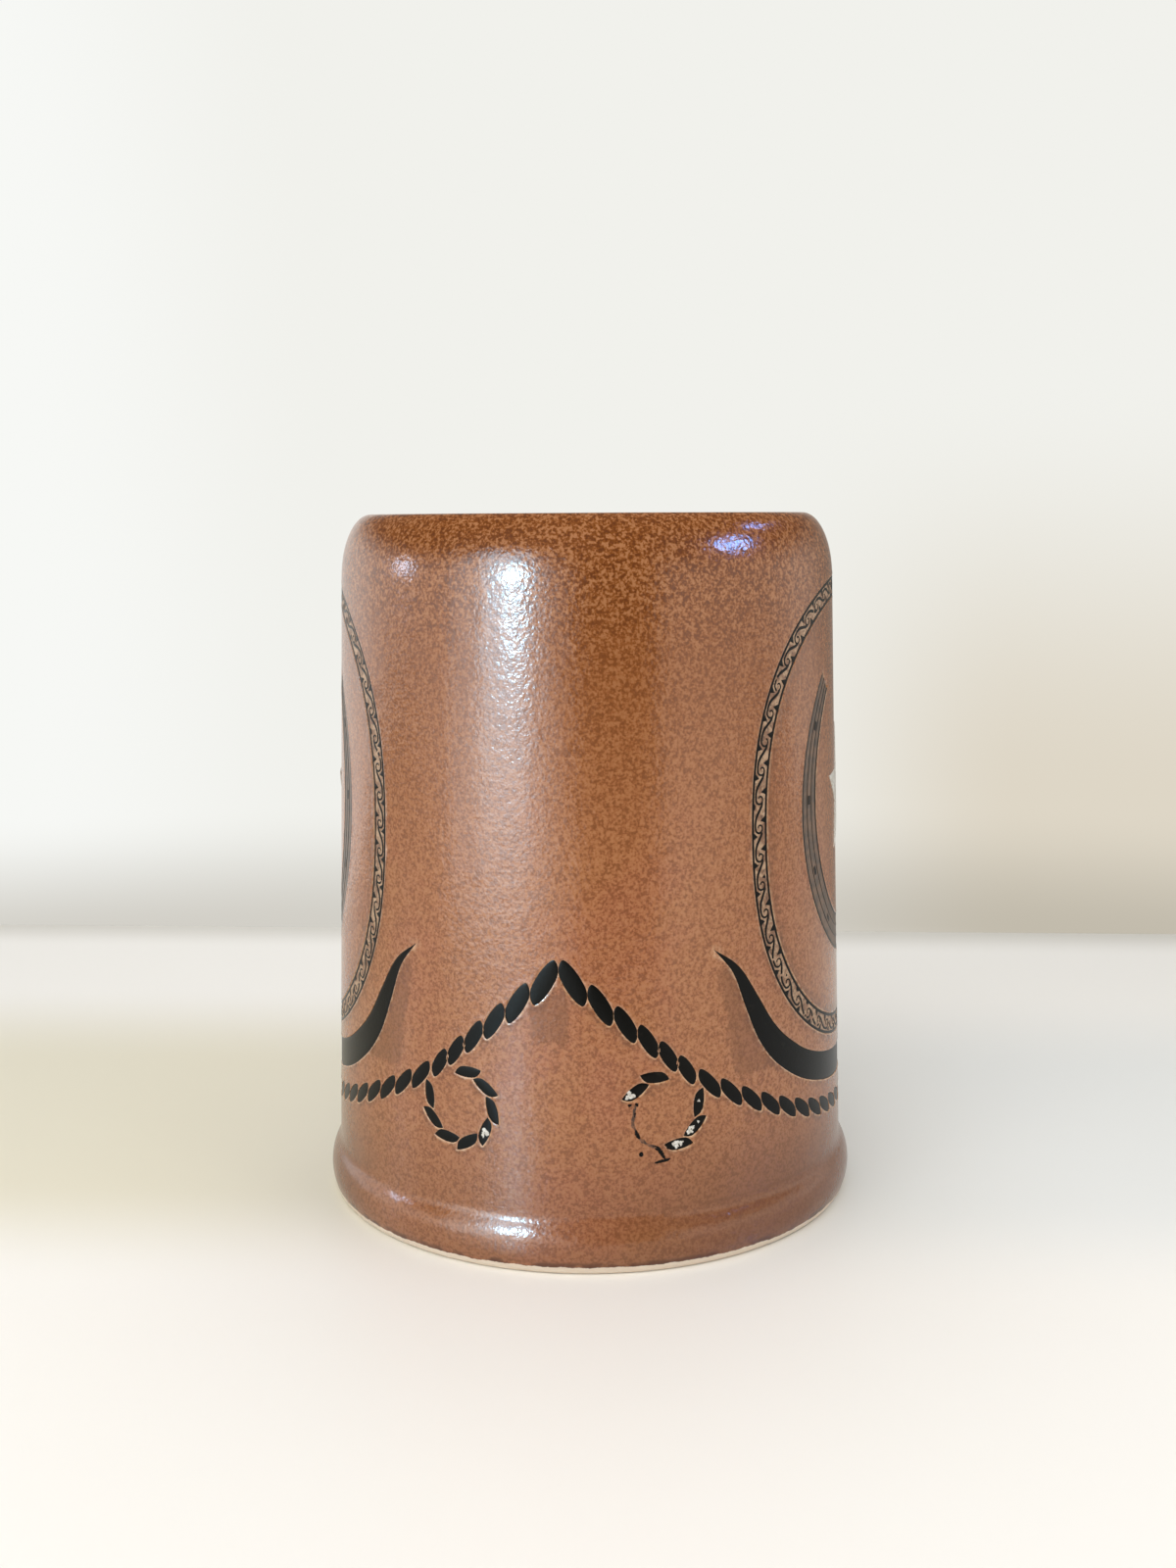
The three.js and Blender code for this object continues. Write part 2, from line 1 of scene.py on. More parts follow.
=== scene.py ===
# %% [markdown]
# # A stoneware mug with a rope laid into its wall
#
# This lesson dresses a packed model of a beer mug of about 0.6 litre. On the real object one clay body
# carries everything: the handle is stuck on behind with slip, and the ornament is black slip laid into
# shallow pockets before the glaze goes on. The packed model gives the sizes and places. The lesson makes
# the fine surfaces and the finishes around it, and starts by loading it.

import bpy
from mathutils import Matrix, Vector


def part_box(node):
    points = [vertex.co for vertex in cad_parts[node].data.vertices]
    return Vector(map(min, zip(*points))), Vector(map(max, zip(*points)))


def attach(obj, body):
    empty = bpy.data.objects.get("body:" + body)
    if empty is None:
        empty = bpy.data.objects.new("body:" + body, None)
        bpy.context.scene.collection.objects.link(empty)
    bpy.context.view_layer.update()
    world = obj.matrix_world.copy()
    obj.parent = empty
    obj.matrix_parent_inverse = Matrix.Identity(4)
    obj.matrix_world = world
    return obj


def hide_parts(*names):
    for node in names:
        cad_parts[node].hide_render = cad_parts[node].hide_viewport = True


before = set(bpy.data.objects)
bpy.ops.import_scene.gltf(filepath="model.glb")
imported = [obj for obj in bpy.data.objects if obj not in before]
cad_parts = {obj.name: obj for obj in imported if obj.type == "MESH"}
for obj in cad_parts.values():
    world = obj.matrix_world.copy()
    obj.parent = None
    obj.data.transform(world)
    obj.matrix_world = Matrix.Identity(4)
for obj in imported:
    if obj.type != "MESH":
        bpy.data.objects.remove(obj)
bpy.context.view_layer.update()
print("packed nodes:", len(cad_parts))

# %% Bring in what the lesson works with
import math

import bmesh
import bpy
import numpy as np
from mathutils import Matrix, Vector
from mathutils.geometry import delaunay_2d_cdt
from mathutils.kdtree import KDTree

print("Blender", bpy.app.version_string)

# %% [markdown]
# ## Where the mug stands
#
# The sizes below are in millimetres, because a potter thinks in them, and turn into Blender's metres
# only when a mesh is made. The mug's axis isn't at the origin, since the handle counts in the footprint
# too, so the axis and the height are read from the packed cup.

# %% Find the mug's axis and height
MM = 0.001
cup_low, cup_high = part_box("cup_body")
AXIS_Y = (cup_low.y + cup_high.y) / 2 / MM
MUG_HEIGHT = cup_high.z / MM
BEAD_RADIUS = (cup_high.x - cup_low.x) / 2 / MM
print(f"axis at y = {AXIS_Y:.3f} mm, height {MUG_HEIGHT:.1f} mm, widest radius {BEAD_RADIUS:.1f} mm")

# %% [markdown]
# ## The section of the mug
#
# A potter's template for this mug is one curve: a round bead at the foot, a tight hollow above it, a
# straight wall that tapers by three millimetres, and a rounded shoulder that ends in the lip. Each round
# stretch is an arc, so the template needs only its centres and radii.

# %% Name the sizes of the section
WALL_RADIUS_LOW = BEAD_RADIUS - 1.8
WALL_RADIUS_HIGH = 45.4
WALL_THICKNESS = 6.8
SHOULDER_HEIGHT = 12
LIP_INNER_ROUND = 1.2
LIP_INNER_ROUND_HEIGHT = 3
BEAD_CENTRE_HEIGHT = 4.2
BEAD_ROUND = 8
CREASE_ROUND = 4
FOOT_RING_WIDTH = 5
FOOT_RING_SLOPE = 1.2
FOOT_RECESS = 2.2
RECESS_ROUND = 0.6
FLOOR_THICKNESS = 6.5
INNER_CORNER_ROUND = 9

SHOULDER_START = MUG_HEIGHT - SHOULDER_HEIGHT
LIP_OUTER_ROUND = WALL_THICKNESS - LIP_INNER_ROUND
CREST_RADIUS = WALL_RADIUS_HIGH - LIP_OUTER_ROUND
CAVITY_FLOOR = FOOT_RECESS + FLOOR_THICKNESS
BEAD_AXIS_RADIUS = BEAD_RADIUS - BEAD_ROUND
CREASE_AXIS_RADIUS = WALL_RADIUS_LOW + CREASE_ROUND
CREASE_REACH = CREASE_AXIS_RADIUS - BEAD_AXIS_RADIUS
CREASE_RISE = math.sqrt((BEAD_ROUND + CREASE_ROUND) ** 2 - CREASE_REACH ** 2)
CREASE_HEIGHT = BEAD_CENTRE_HEIGHT + CREASE_RISE
FOOT_RADIUS = BEAD_AXIS_RADIUS + math.sqrt(BEAD_ROUND ** 2 - BEAD_CENTRE_HEIGHT ** 2)
print(f"the crease lies at {CREASE_HEIGHT:.2f} mm, the foot ring's radius is {FOOT_RADIUS:.2f} mm")


# %% Draw the section
def arc(centre, size, start, end, steps):
    """Points of a round about centre in the section plane (radius, height)."""
    turn = np.linspace(start, end, steps + 1)
    return np.c_[centre[0] + size[0] * np.cos(turn), centre[1] + size[1] * np.sin(turn)]


def outside_section():
    crease_turn = math.atan2(CREASE_RISE, CREASE_REACH)
    foot_turn = -math.asin(BEAD_CENTRE_HEIGHT / BEAD_ROUND)
    bead = arc((BEAD_AXIS_RADIUS, BEAD_CENTRE_HEIGHT), (BEAD_ROUND, BEAD_ROUND), foot_turn, crease_turn, 22)
    crease = arc((CREASE_AXIS_RADIUS, CREASE_HEIGHT), (CREASE_ROUND, CREASE_ROUND),
                 math.pi + crease_turn, math.pi, 8)
    shoulder = arc((CREST_RADIUS, SHOULDER_START), (LIP_OUTER_ROUND, SHOULDER_HEIGHT), 0, math.pi / 2, 28)
    return np.vstack([bead, crease[1:], shoulder])


OUTSIDE = outside_section()


def outside_radius(height):
    """Outside radius of the mug at a height, from the foot to just under the rim."""
    return np.interp(height, OUTSIDE[:, 1], OUTSIDE[:, 0])


print("section points:", len(OUTSIDE), "radius at half height:", round(float(outside_radius(63.5)), 2))

# %% [markdown]
# ## The flat layout
#
# Before the ornament goes round the wall it is drawn flat, as a transfer would be. A point's first number
# is its distance from the front seam, measured round the foot of the wall, and its second is its height.
# Wrapping turns the distance into an angle, and a small lift moves a point out of the wall or into it.


# %% Wrap the layout round the wall
def wrapped(points, lift):
    """Layout points as points in space, still in millimetres."""
    points = np.asarray(points, float)
    angle = points[:, 0] / WALL_RADIUS_LOW
    radius = outside_radius(points[:, 1]) + lift
    return np.c_[radius * np.sin(angle), AXIS_Y - radius * np.cos(angle), points[:, 1]]


QUARTER_TURN = WALL_RADIUS_LOW * math.pi / 2
print(f"a medallion's middle lies {QUARTER_TURN:.2f} mm from the seam")


# %% Make meshes and pieces
WELD_DISTANCE = 0.001


def add_mesh(name, points, faces, sharp_from=40):
    """A smooth mesh from points in millimetres; doubled points are welded."""
    work = bmesh.new()
    corners = [work.verts.new(Vector(point) * MM) for point in points]
    for face in faces:
        if len(set(face)) > 2:
            work.faces.new([corners[i] for i in face])
    bmesh.ops.remove_doubles(work, verts=work.verts, dist=WELD_DISTANCE * MM)
    bmesh.ops.recalc_face_normals(work, faces=work.faces)
    mesh = bpy.data.meshes.new(name)
    work.to_mesh(mesh)
    work.free()
    mesh.shade_smooth()
    mesh.set_sharp_from_angle(angle=math.radians(sharp_from))
    piece = bpy.data.objects.new(name, mesh)
    bpy.context.scene.collection.objects.link(piece)
    return piece


def settle(piece, material, slot, *nodes):
    """Gives a piece its finish and its place on the one body of the mug."""
    piece.data.materials.append(material)
    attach(piece, "root")
    if nodes:
        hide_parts(*nodes)
    return piece


print("points nearer than", WELD_DISTANCE, "mm are welded")


# %% [markdown]
# ## The rope
#
# The rope is drawn as separate strands, each a leaf with two narrow ends that lies at an angle to the
# rope, as the lay of a real rope does. The two sides of a leaf are fullest at different places, so it bends
# a little like an S. The slip spread by a tenth of a millimetre in the firing, which blunts the leaves.
# From the seam a straight run falls to a knot on each side, with long strands first. Below the knot hangs a
# small open loop, and from knot to knot a swag hangs under each medallion.

# %% Name the sizes of the rope
ROPE_APEX_HEIGHT = 52.2
KNOT = np.array([24.4, 32.7])
RUN_KNOT_GAP = 0.7
LOOP_RADIUS = 6.35
LOOP_KNOT_GAP = 1.75
LOOP_TILT = math.radians(39)
LOOP_FACING = math.radians(57)
LOOP_OPENING = math.radians(97)
SWAG_BELOW_HORN = 4.5
APEX_STRAND_STRETCH = 1.5
APEX_STRAND_WIDTH = 3.1
STRAND_WIDTH = 2.3
STRAND_OVERLAP = 1.3
LOOP_STRAND_WIDTH = 2.0
LOOP_STRAND_OVERLAP = 1.2
STRAND_FULLEST = 0.38
STRAND_SPREAD = 0.13
STRAND_BLUNTNESS = 1.75
LOOP_STRAND_SPREAD = 0.09
LOOP_STRAND_BLUNTNESS = 1.25
ROPE_LAY = math.radians(27)
RUN_STRANDS = 6
SWAG_STRANDS = 22
LOOP_STRANDS = 8
TIP_GROWTH = 1.5

MEDALLION_TOP = MUG_HEIGHT - 11.3
MEDALLION_LOW = 30.9
MEDALLION_HEIGHT = (MEDALLION_TOP + MEDALLION_LOW) / 2
MEDALLION_HALF = np.array([40.1, (MEDALLION_TOP - MEDALLION_LOW) / 2])
MEDALLION_SQUARENESS = 2.4
BAND_WIDTH = 3.7
HORN_GAP = 5.4
HORN_WIDTH = 5.2
HORN_POINTED_SHARE = 0.25
SWAG_LOW = MEDALLION_LOW - HORN_GAP - HORN_WIDTH / 2 - SWAG_BELOW_HORN
print(f"the swag hangs down to {SWAG_LOW:.1f} mm, the medallions' middle is at {MEDALLION_HEIGHT:.1f} mm")


# %% Lay out the strands
def direction(angle):
    return np.array([math.cos(angle), math.sin(angle)])


def heading_of(step):
    return math.atan2(step[1], step[0])


def swag_points(count):
    """Evenly spaced points of the swag, a parabola from knot to knot, with the rope's heading at each."""
    share = np.linspace(0, 1, 801)
    reach = 2 * (QUARTER_TURN - KNOT[0])
    curve = np.c_[KNOT[0] + reach * share, KNOT[1] - 4 * (KNOT[1] - SWAG_LOW) * share * (1 - share)]
    steps = np.hypot(*np.diff(curve, axis=0).T)
    run = np.r_[0, np.cumsum(steps)]
    wanted = run[-1] * (np.arange(count) + 0.5) / count
    centres = np.c_[np.interp(wanted, run, curve[:, 0]), np.interp(wanted, run, curve[:, 1])]
    slopes = 4 * (KNOT[1] - SWAG_LOW) * (2 * (centres[:, 0] - KNOT[0]) / reach - 1) / reach
    return centres, np.arctan(slopes), run[-1]


def run_strands():
    apex = np.array([0, ROPE_APEX_HEIGHT])
    run_length = np.linalg.norm(KNOT - apex)
    left = 1 - np.arange(RUN_STRANDS) / (RUN_STRANDS - 1)
    stretches = 1 + (APEX_STRAND_STRETCH - 1) * left ** 1.5
    stretches *= (run_length - RUN_KNOT_GAP) / stretches.sum()
    widths = STRAND_WIDTH + (APEX_STRAND_WIDTH - STRAND_WIDTH) * left ** 2
    middles = (np.cumsum(stretches) - stretches / 2) / run_length
    heading = heading_of(KNOT - apex)
    return [dict(centre=apex + (KNOT - apex) * middle, heading=heading, length=length, width=width,
                 spread=STRAND_SPREAD, bluntness=STRAND_BLUNTNESS)
            for middle, length, width in zip(middles, stretches * STRAND_OVERLAP, widths)]


def swag_strands():
    centres, headings, swag_length = swag_points(SWAG_STRANDS)
    length = swag_length / SWAG_STRANDS * STRAND_OVERLAP
    return [dict(centre=centre, heading=heading, length=length, width=STRAND_WIDTH,
                 spread=STRAND_SPREAD, bluntness=STRAND_BLUNTNESS)
            for centre, heading in zip(centres, headings)]


def loop_strands():
    middle = KNOT - (LOOP_RADIUS + LOOP_KNOT_GAP) * direction(LOOP_TILT)
    start = LOOP_FACING + LOOP_OPENING / 2
    step = (2 * math.pi - LOOP_OPENING) / (LOOP_STRANDS - 1)
    length = LOOP_RADIUS * step * LOOP_STRAND_OVERLAP
    return [dict(centre=middle + LOOP_RADIUS * direction(angle), heading=angle + math.pi / 2,
                 length=length, width=LOOP_STRAND_WIDTH,
                 spread=LOOP_STRAND_SPREAD, bluntness=LOOP_STRAND_BLUNTNESS)
            for angle in start + step * np.arange(LOOP_STRANDS)]


for lay_out in (run_strands, loop_strands, swag_strands):
    lengths = [round(float(strand["length"]), 1) for strand in lay_out()]
    print(lay_out.__name__, "lengths in mm:", lengths[:6])


# %% Draw one strand as a leaf
def leaf_side(share, bluntness):
    rising = (share + 1) / (1 + STRAND_FULLEST)
    falling = (1 - share) / (1 - STRAND_FULLEST)
    return np.sin(math.pi / 2 * np.clip(np.minimum(rising, falling), 0, 1)) ** (1 / bluntness)


def lay_of(strand):
    """The directions along and across a strand, which lies at an angle to the rope."""
    along = direction(strand["heading"] - ROPE_LAY)
    return along, np.array([-along[1], along[0]])


def strand_edges(strand, grow, steps):
    """The upper and the lower edge of a strand, grown all round."""
    along, across = lay_of(strand)
    share = -np.cos(np.linspace(0, math.pi, steps + 1))[:, None]
    spread, bluntness = strand["spread"], strand["bluntness"]
    middle = strand["centre"] + share * along * (strand["length"] / 2 + TIP_GROWTH * (grow + spread))
    half = strand["width"] / 2 + grow + spread
    upper = middle + across * half * leaf_side(share, bluntness)
    lower = middle - across * half * leaf_side(-share, bluntness)
    return upper, lower


def flipped(edges):
    """The same two edges on the left half of the mug."""
    upper, lower = edges
    return lower * [-1, 1], upper * [-1, 1]


first_upper, first_lower = strand_edges(run_strands()[0], 0, 20)
first_width = float(np.linalg.norm(first_upper - first_lower, axis=1).max())
print(f"the first strand is {first_width:.2f} mm wide")


# %% [markdown]
# ## The medallions and their horns
#
# A band with a running scroll goes round an oval on each side of the mug, and a crescent of two horns
# cradles it. The oval is a superellipse, which is a little squarer than an ellipse. The horn's middle
# line follows the oval at a distance that grows towards the tip. Inside each oval stands a plain
# horseshoe with a star, both long-used figures that belong to nobody.

# %% Name the sizes of the horn and the horseshoe
HORN_COURSE = [(69, 1.96), (62.5, 1.35), (54.5, 1.24), (46.5, 1.33), (39, 1.31), (29, 1.18), (15.5, 1.02)]
SHOE_CENTRE = np.array([QUARTER_TURN, MEDALLION_HEIGHT + 2.7])
SHOE_HALF = np.array([23, 27])
SHOE_TOE_WIDTH = 6.6
SHOE_HEEL_WIDTH = 4.4
SHOE_OPENING = math.radians(76)
print(f"the horseshoe's middle line is {2 * SHOE_HALF[0]} mm wide and {2 * SHOE_HALF[1]} mm high")


# %% Follow paths through a few points
def smooth_path(points, per_span, evenness):
    """A curve through all points. Evenness 0 spaces its knots alike, 0.5 by the root of their distance."""
    points = np.asarray(points, float)
    ends = [2 * points[0] - points[1], 2 * points[-1] - points[-2]]
    padded = np.vstack([ends[0], points, ends[1]])
    curve = []
    for before, start, end, after in zip(padded, padded[1:], padded[2:], padded[3:]):
        gaps = [np.linalg.norm(step) ** evenness for step in (start - before, end - start, after - end)]
        leave = (start - before) / gaps[0] - (end - before) / (gaps[0] + gaps[1]) + (end - start) / gaps[1]
        arrive = (end - start) / gaps[1] - (after - start) / (gaps[1] + gaps[2]) + (after - end) / gaps[2]
        t = np.linspace(0, 1, per_span, endpoint=False)[:, None]
        curve.append((2 * t ** 3 - 3 * t ** 2 + 1) * start + (t ** 3 - 2 * t ** 2 + t) * leave * gaps[1]
                     + (3 * t ** 2 - 2 * t ** 3) * end + (t ** 3 - t ** 2) * arrive * gaps[1])
    return np.vstack(curve + [points[-1:]])


def run_along(curve):
    """The distance run from a curve's start to each of its points."""
    return np.r_[0, np.cumsum(np.linalg.norm(np.diff(curve, axis=0), axis=1))]


def evenly(curve, count):
    """The same curve with evenly spaced points, and the share of its length at each."""
    run = run_along(curve)
    share = np.linspace(0, 1, count)
    return np.column_stack([np.interp(share * run[-1], run, axis) for axis in curve.T]), share


def sideways(curve, closed=False):
    """The direction across a flat curve at each of its points, to the left of its run."""
    if closed:
        along = np.roll(curve, -1, axis=0) - np.roll(curve, 1, axis=0)
    else:
        along = np.gradient(curve, axis=0)
    along /= np.linalg.norm(along, axis=1)[:, None]
    return np.c_[-along[:, 1], along[:, 0]]


def ribbon(curve, half_width, grow=0, closed=False):
    """The left and the right edge of a ribbon along a flat curve."""
    across = sideways(curve, closed)
    half = np.broadcast_to(np.asarray(half_width, float), len(curve))[:, None] + grow
    return curve + across * half, curve - across * half


print("a path through 3 places has", len(smooth_path([(0, 0), (1, 1), (2, 0)], 4, 0.5)), "points")


# %% Draw the ovals, horns and horseshoes
MEDALLION_CENTRE = np.array([QUARTER_TURN, MEDALLION_HEIGHT])


def squared_circle(count, squareness):
    """Points round a circle of radius 1, anticlockwise; a squareness over 2 swells its corners."""
    turn = np.linspace(0, math.tau, count, endpoint=False)
    circle = np.c_[np.cos(turn), np.sin(turn)]
    return np.sign(circle) * np.abs(circle) ** (2 / squareness)


def oval(offset, count):
    """The medallion's outline, moved outwards by offset, running anticlockwise."""
    return MEDALLION_CENTRE + squared_circle(count, MEDALLION_SQUARENESS) * (MEDALLION_HALF + offset)


def horn_point(degrees, gap_share):
    turn = math.radians(degrees)
    out = np.array([-math.sin(turn), -math.cos(turn)])
    reach = np.sum(np.abs(out / MEDALLION_HALF) ** MEDALLION_SQUARENESS) ** (-1 / MEDALLION_SQUARENESS)
    return MEDALLION_CENTRE + out * (reach + gap_share * HORN_GAP)


def horn_edges(grow, steps):
    half = [horn_point(*place) for place in HORN_COURSE]
    low = horn_point(0, 1)
    other = [np.array([2 * QUARTER_TURN - point[0], point[1]]) for point in reversed(half)]
    curve, share = evenly(smooth_path(half + [low] + other, 24, 0), steps + 1)
    from_tip = np.minimum(share, 1 - share)
    half_width = HORN_WIDTH / 2 * np.sin(math.pi / 2 * np.minimum(1, from_tip / HORN_POINTED_SHARE))
    swelling = np.minimum(1, half_width * 4)
    return ribbon(curve, half_width + grow * swelling)


def shoe_spine(steps):
    turn = np.linspace(SHOE_OPENING / 2, 2 * math.pi - SHOE_OPENING / 2, steps + 1) + math.pi / 2
    return SHOE_CENTRE + np.c_[np.cos(turn), np.sin(turn)] * SHOE_HALF


def shoe_half_width(steps):
    share = np.linspace(0, 1, steps + 1)
    return (SHOE_HEEL_WIDTH + (SHOE_TOE_WIDTH - SHOE_HEEL_WIDTH) * np.sin(math.pi * share)) / 2


def shoe_edges(grow, steps):
    return ribbon(shoe_spine(steps), shoe_half_width(steps), grow)


print("horn tip at", np.round(horn_point(*HORN_COURSE[0]), 1), "mm")

# %% [markdown]
# ## What is laid out where
#
# The right half of the layout is drawn once. The left half mirrors it, lay and all. The back of the mug
# repeats the front, but there the rope keeps its lay, and its run stops where the handle's lower root
# covers the wall. Three strands of the front loop on the right have worn away to their outlines, as an
# old mug's do, so there the wall has no pocket.

# %% Collect the ornament of both halves
HANDLE_COVER = 11.5
WORN_STRANDS = ("rope_loop_strand_3_right", "rope_loop_strand_4_right", "rope_loop_strand_5_right")


def at_back(strand):
    centre = np.array([2 * QUARTER_TURN - strand["centre"][0], strand["centre"][1]])
    return {**strand, "centre": centre, "heading": math.pi - strand["heading"]}


def clear_of_handle(strand):
    return 2 * QUARTER_TURN - strand["centre"][0] - strand["length"] / 2 > HANDLE_COVER


def right_strands():
    """Each strand of the right half under its name; those at the back have no packed node."""
    runs, loops = run_strands(), loop_strands()
    groups = {"rope_run": runs, "rope_loop": loops, "rope_swag": swag_strands(),
              "back_loop": [at_back(strand) for strand in loops],
              "back_run": [at_back(strand) for strand in runs]}
    named = {f"{group}_strand_{i + 1}": strand
             for group, strands in groups.items() for i, strand in enumerate(strands)}
    return {name: strand for name, strand in named.items()
            if not name.startswith("back_run") or clear_of_handle(strand)}


STRANDS = {}
for word in ("right", "left"):
    for name, strand in right_strands().items():
        STRANDS[f"{name}_{word}"] = (strand, word == "left")
print("strands in all:", len(STRANDS))


def strand_outline(name, grow, steps):
    strand, on_left = STRANDS[name]
    edges = strand_edges(strand, grow, steps)
    return flipped(edges) if on_left else edges


# %% [markdown]
# ## Black slip in the pockets
#
# Each inlay is a thin slab between two edges of the layout: its sides reach down into the pocket, its
# rim is softened and its top lies a little below the glaze. The slip was brushed in by hand, so it falls
# short of the pocket's edge here and there, most of all along the lower side. A sum of sines with seeded
# phases gives that wander and is the same on every run.

# %% Make slabs that follow the wall
rng = np.random.default_rng(7)
INLAY_TOP = -0.07
INLAY_DEPTH = 0.6
INLAY_GROWTH = 0.01
POCKET_DEPTH = 0.7


def slab(left, right, section, closed=False):
    """Points and faces of a slab between two edges; section lists (share across, lift) round its cut."""
    rings = np.stack([wrapped(left + (right - left) * across, lift) for across, lift in section], axis=1)
    count, sides = rings.shape[:2]
    faces = []
    for i in range(count if closed else count - 1):
        start, ahead = i * sides, (i + 1) % count * sides
        for k in range(sides):
            after = (k + 1) % sides
            faces.append((start + k, start + after, ahead + after, ahead + k))
    if not closed:
        faces.append(tuple(range(sides)))
        faces.append(tuple((count - 1) * sides + k for k in reversed(range(sides))))
    return rings.reshape(-1, 3), faces


def slab_section(top, depth, rim_share, drop, crowns=1):
    """A flat-topped cut with softened rims."""
    inner = np.linspace(rim_share, 1 - rim_share, crowns + 2)
    return [(0, -depth), (0, top - drop), *[(share, top) for share in inner], (1, top - drop), (1, -depth)]


def joined(parts):
    """Several lots of points and faces as one."""
    points, faces, offset = [], [], 0
    for part_points, part_faces in parts:
        points.append(part_points)
        faces += [tuple(i + offset for i in face) for face in part_faces]
        offset += len(part_points)
    return np.vstack(points), faces


def wander(count, size, waves):
    """A hand-drawn wobble along an edge, nought at both ends."""
    place = np.linspace(0, 1, count)
    wobble = sum(np.sin(math.tau * (wave * place + rng.random())) / math.sqrt(wave)
                 for wave in rng.uniform(*waves, 6))
    return size * wobble * np.sin(math.pi * place) ** 0.3


print("corners round an inlay's cut:", len(slab_section(INLAY_TOP, INLAY_DEPTH, 0.12, 0.04)))


# %% Name the finishes that the pieces get later
glaze = bpy.data.materials.new("brown_glaze")
black_slip = bpy.data.materials.new("black_slip")
band_ground = bpy.data.materials.new("band_ground")
shoe_wash = bpy.data.materials.new("shoe_wash")
thin_slip = bpy.data.materials.new("thin_brown_slip")
bare_clay = bpy.data.materials.new("bared_white_clay")
print("finishes:", [material.name for material in bpy.data.materials])

# %% Fill the pockets of the rope
STRAND_STEPS = 32
STRAND_SECTION = slab_section(INLAY_TOP, INLAY_DEPTH, 0.12, 0.04)


def across_of(upper, lower):
    """The direction from the lower edge to the upper one at each point."""
    span = upper - lower
    return span / np.maximum(np.linalg.norm(span, axis=1), 0.05)[:, None]


def nibbled(line, across, size, waves):
    """Draws an edge back from the pocket's side by a hand-made amount, nought at most places."""
    return line + across * np.minimum(wander(len(line), size, waves) - size * 0.4, 0)[:, None]


def ragged_strand(name):
    """A strand's slab with brushed edges; the lower edge is the rougher one."""
    upper, lower = strand_outline(name, INLAY_GROWTH, STRAND_STEPS)
    across = across_of(upper, lower)
    upper = nibbled(upper, across, 0.035, (3, 12))
    lower = nibbled(lower, -across, 0.075, (4, 16))
    return slab(upper, lower, STRAND_SECTION)


for name in STRANDS:
    if name in WORN_STRANDS:
        continue
    piece = add_mesh(name + "_fill", *ragged_strand(name))
    settle(piece, black_slip, "black_slip", *([name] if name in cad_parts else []))
print("filled strands:", len(STRANDS) - len(WORN_STRANDS))

# %% [markdown]
# Where a strand has worn away, only a trace of slip is left, brown where it is thin and black where some
# still clings. It ran along the inner side of the loop, so each worn strand keeps a few short ragged lines
# and dots there.

# %% Leave traces where the slip has worn away
TRACE_STEPS = 20
# each line has its kind, its width and the layout points that it passes
WORN_LINES = {
    "rope_loop_strand_3_right": [
        ("thin", 0.42, [(13.25, 29.5), (12.8, 28.4), (12.75, 27.4),
                        (12.5, 26.4), (12.6, 25.6), (13.0, 24.8)]),
        ("thick", 0.5, [(13.3, 29.5), (13.15, 29.1)]),
        ("thick", 0.5, [(11.7, 29.2), (12.3, 29.5)]),
        ("thick", 0.3, [(12.85, 27.9), (12.8, 27.1)]),
    ],
    "rope_loop_strand_4_right": [
        ("thick", 0.42, [(13.0, 24.9), (13.2, 24.2), (13.7, 23.3)]),
        ("thin", 0.34, [(13.6, 23.3), (14.3, 22.8), (15.0, 22.3)]),
        ("thick", 0.5, [(13.9, 21.0), (14.0, 20.2)]),
    ],
    "rope_loop_strand_5_right": [
        ("thin", 0.4, [(15.0, 22.2), (15.8, 21.9), (16.6, 21.5)]),
        ("thick", 0.46, [(15.9, 21.9), (16.8, 21.4), (17.3, 20.8), (17.7, 20.1), (18.1, 19.4)]),
        ("thick", 0.36, [(16.3, 18.9), (17.3, 19.1), (18.3, 19.2), (19.0, 19.4)]),
        ("thick", 0.5, [(18.4, 21.5), (19.0, 21.4)]),
    ],
}


def traces(lines):
    """Ragged slabs along the given lines."""
    parts = []
    for width, places in lines:
        course = smooth_path(places, 12, 0.5) if len(places) > 2 else np.array(places, float)
        line, share = evenly(course, TRACE_STEPS)
        line = line + sideways(line) * wander(TRACE_STEPS, 0.05, (3, 9))[:, None]
        fullness = np.sin(math.pi * np.clip(share, 0.06, 0.94)) ** 0.4
        half = width * 0.75 * (0.75 + 0.5 * rng.random(TRACE_STEPS)) * fullness
        parts.append(slab(*ribbon(line, half), slab_section(0.03, 0.1, 0.3, 0.02, 0)))
    return joined(parts)


for name, lines in WORN_LINES.items():
    thin = [line[1:] for line in lines if line[0] == "thin"]
    thick = [line[1:] for line in lines if line[0] == "thick"]
    settle(add_mesh(name + "_thin_trace", *traces(thin)), thin_slip, "black_slip", name)
    settle(add_mesh(name + "_thick_trace", *traces(thick)), black_slip, "black_slip", name)
print("worn strands:", len(WORN_LINES))

# %% [markdown]
# Small chips in the black show the white clay below it. Each chip is a thin ragged disc that stands just
# proud of the strand that it marks.

# %% Chip a few strands
CHIP_CORNERS = 18
# strand, place along and across it in shares of its half length and half width, radius
CHIPS = [
    ("rope_loop_strand_4_left", 0.05, 0.0, 0.62),
    ("rope_loop_strand_4_left", 0.3, 0.2, 0.3),
    ("rope_loop_strand_8_right", 0.1, 0.1, 0.22),
    ("rope_loop_strand_2_right", 0.45, 0.0, 0.75),
    ("rope_loop_strand_6_right", -0.2, 0.0, 0.6),
    ("rope_loop_strand_6_right", 0.15, 0.1, 0.4),
    ("rope_loop_strand_7_right", -0.5, 0.0, 0.55),
    ("rope_loop_strand_7_right", -0.2, 0.15, 0.35),
    ("rope_loop_strand_7_right", 0.35, 0.2, 0.2),
]


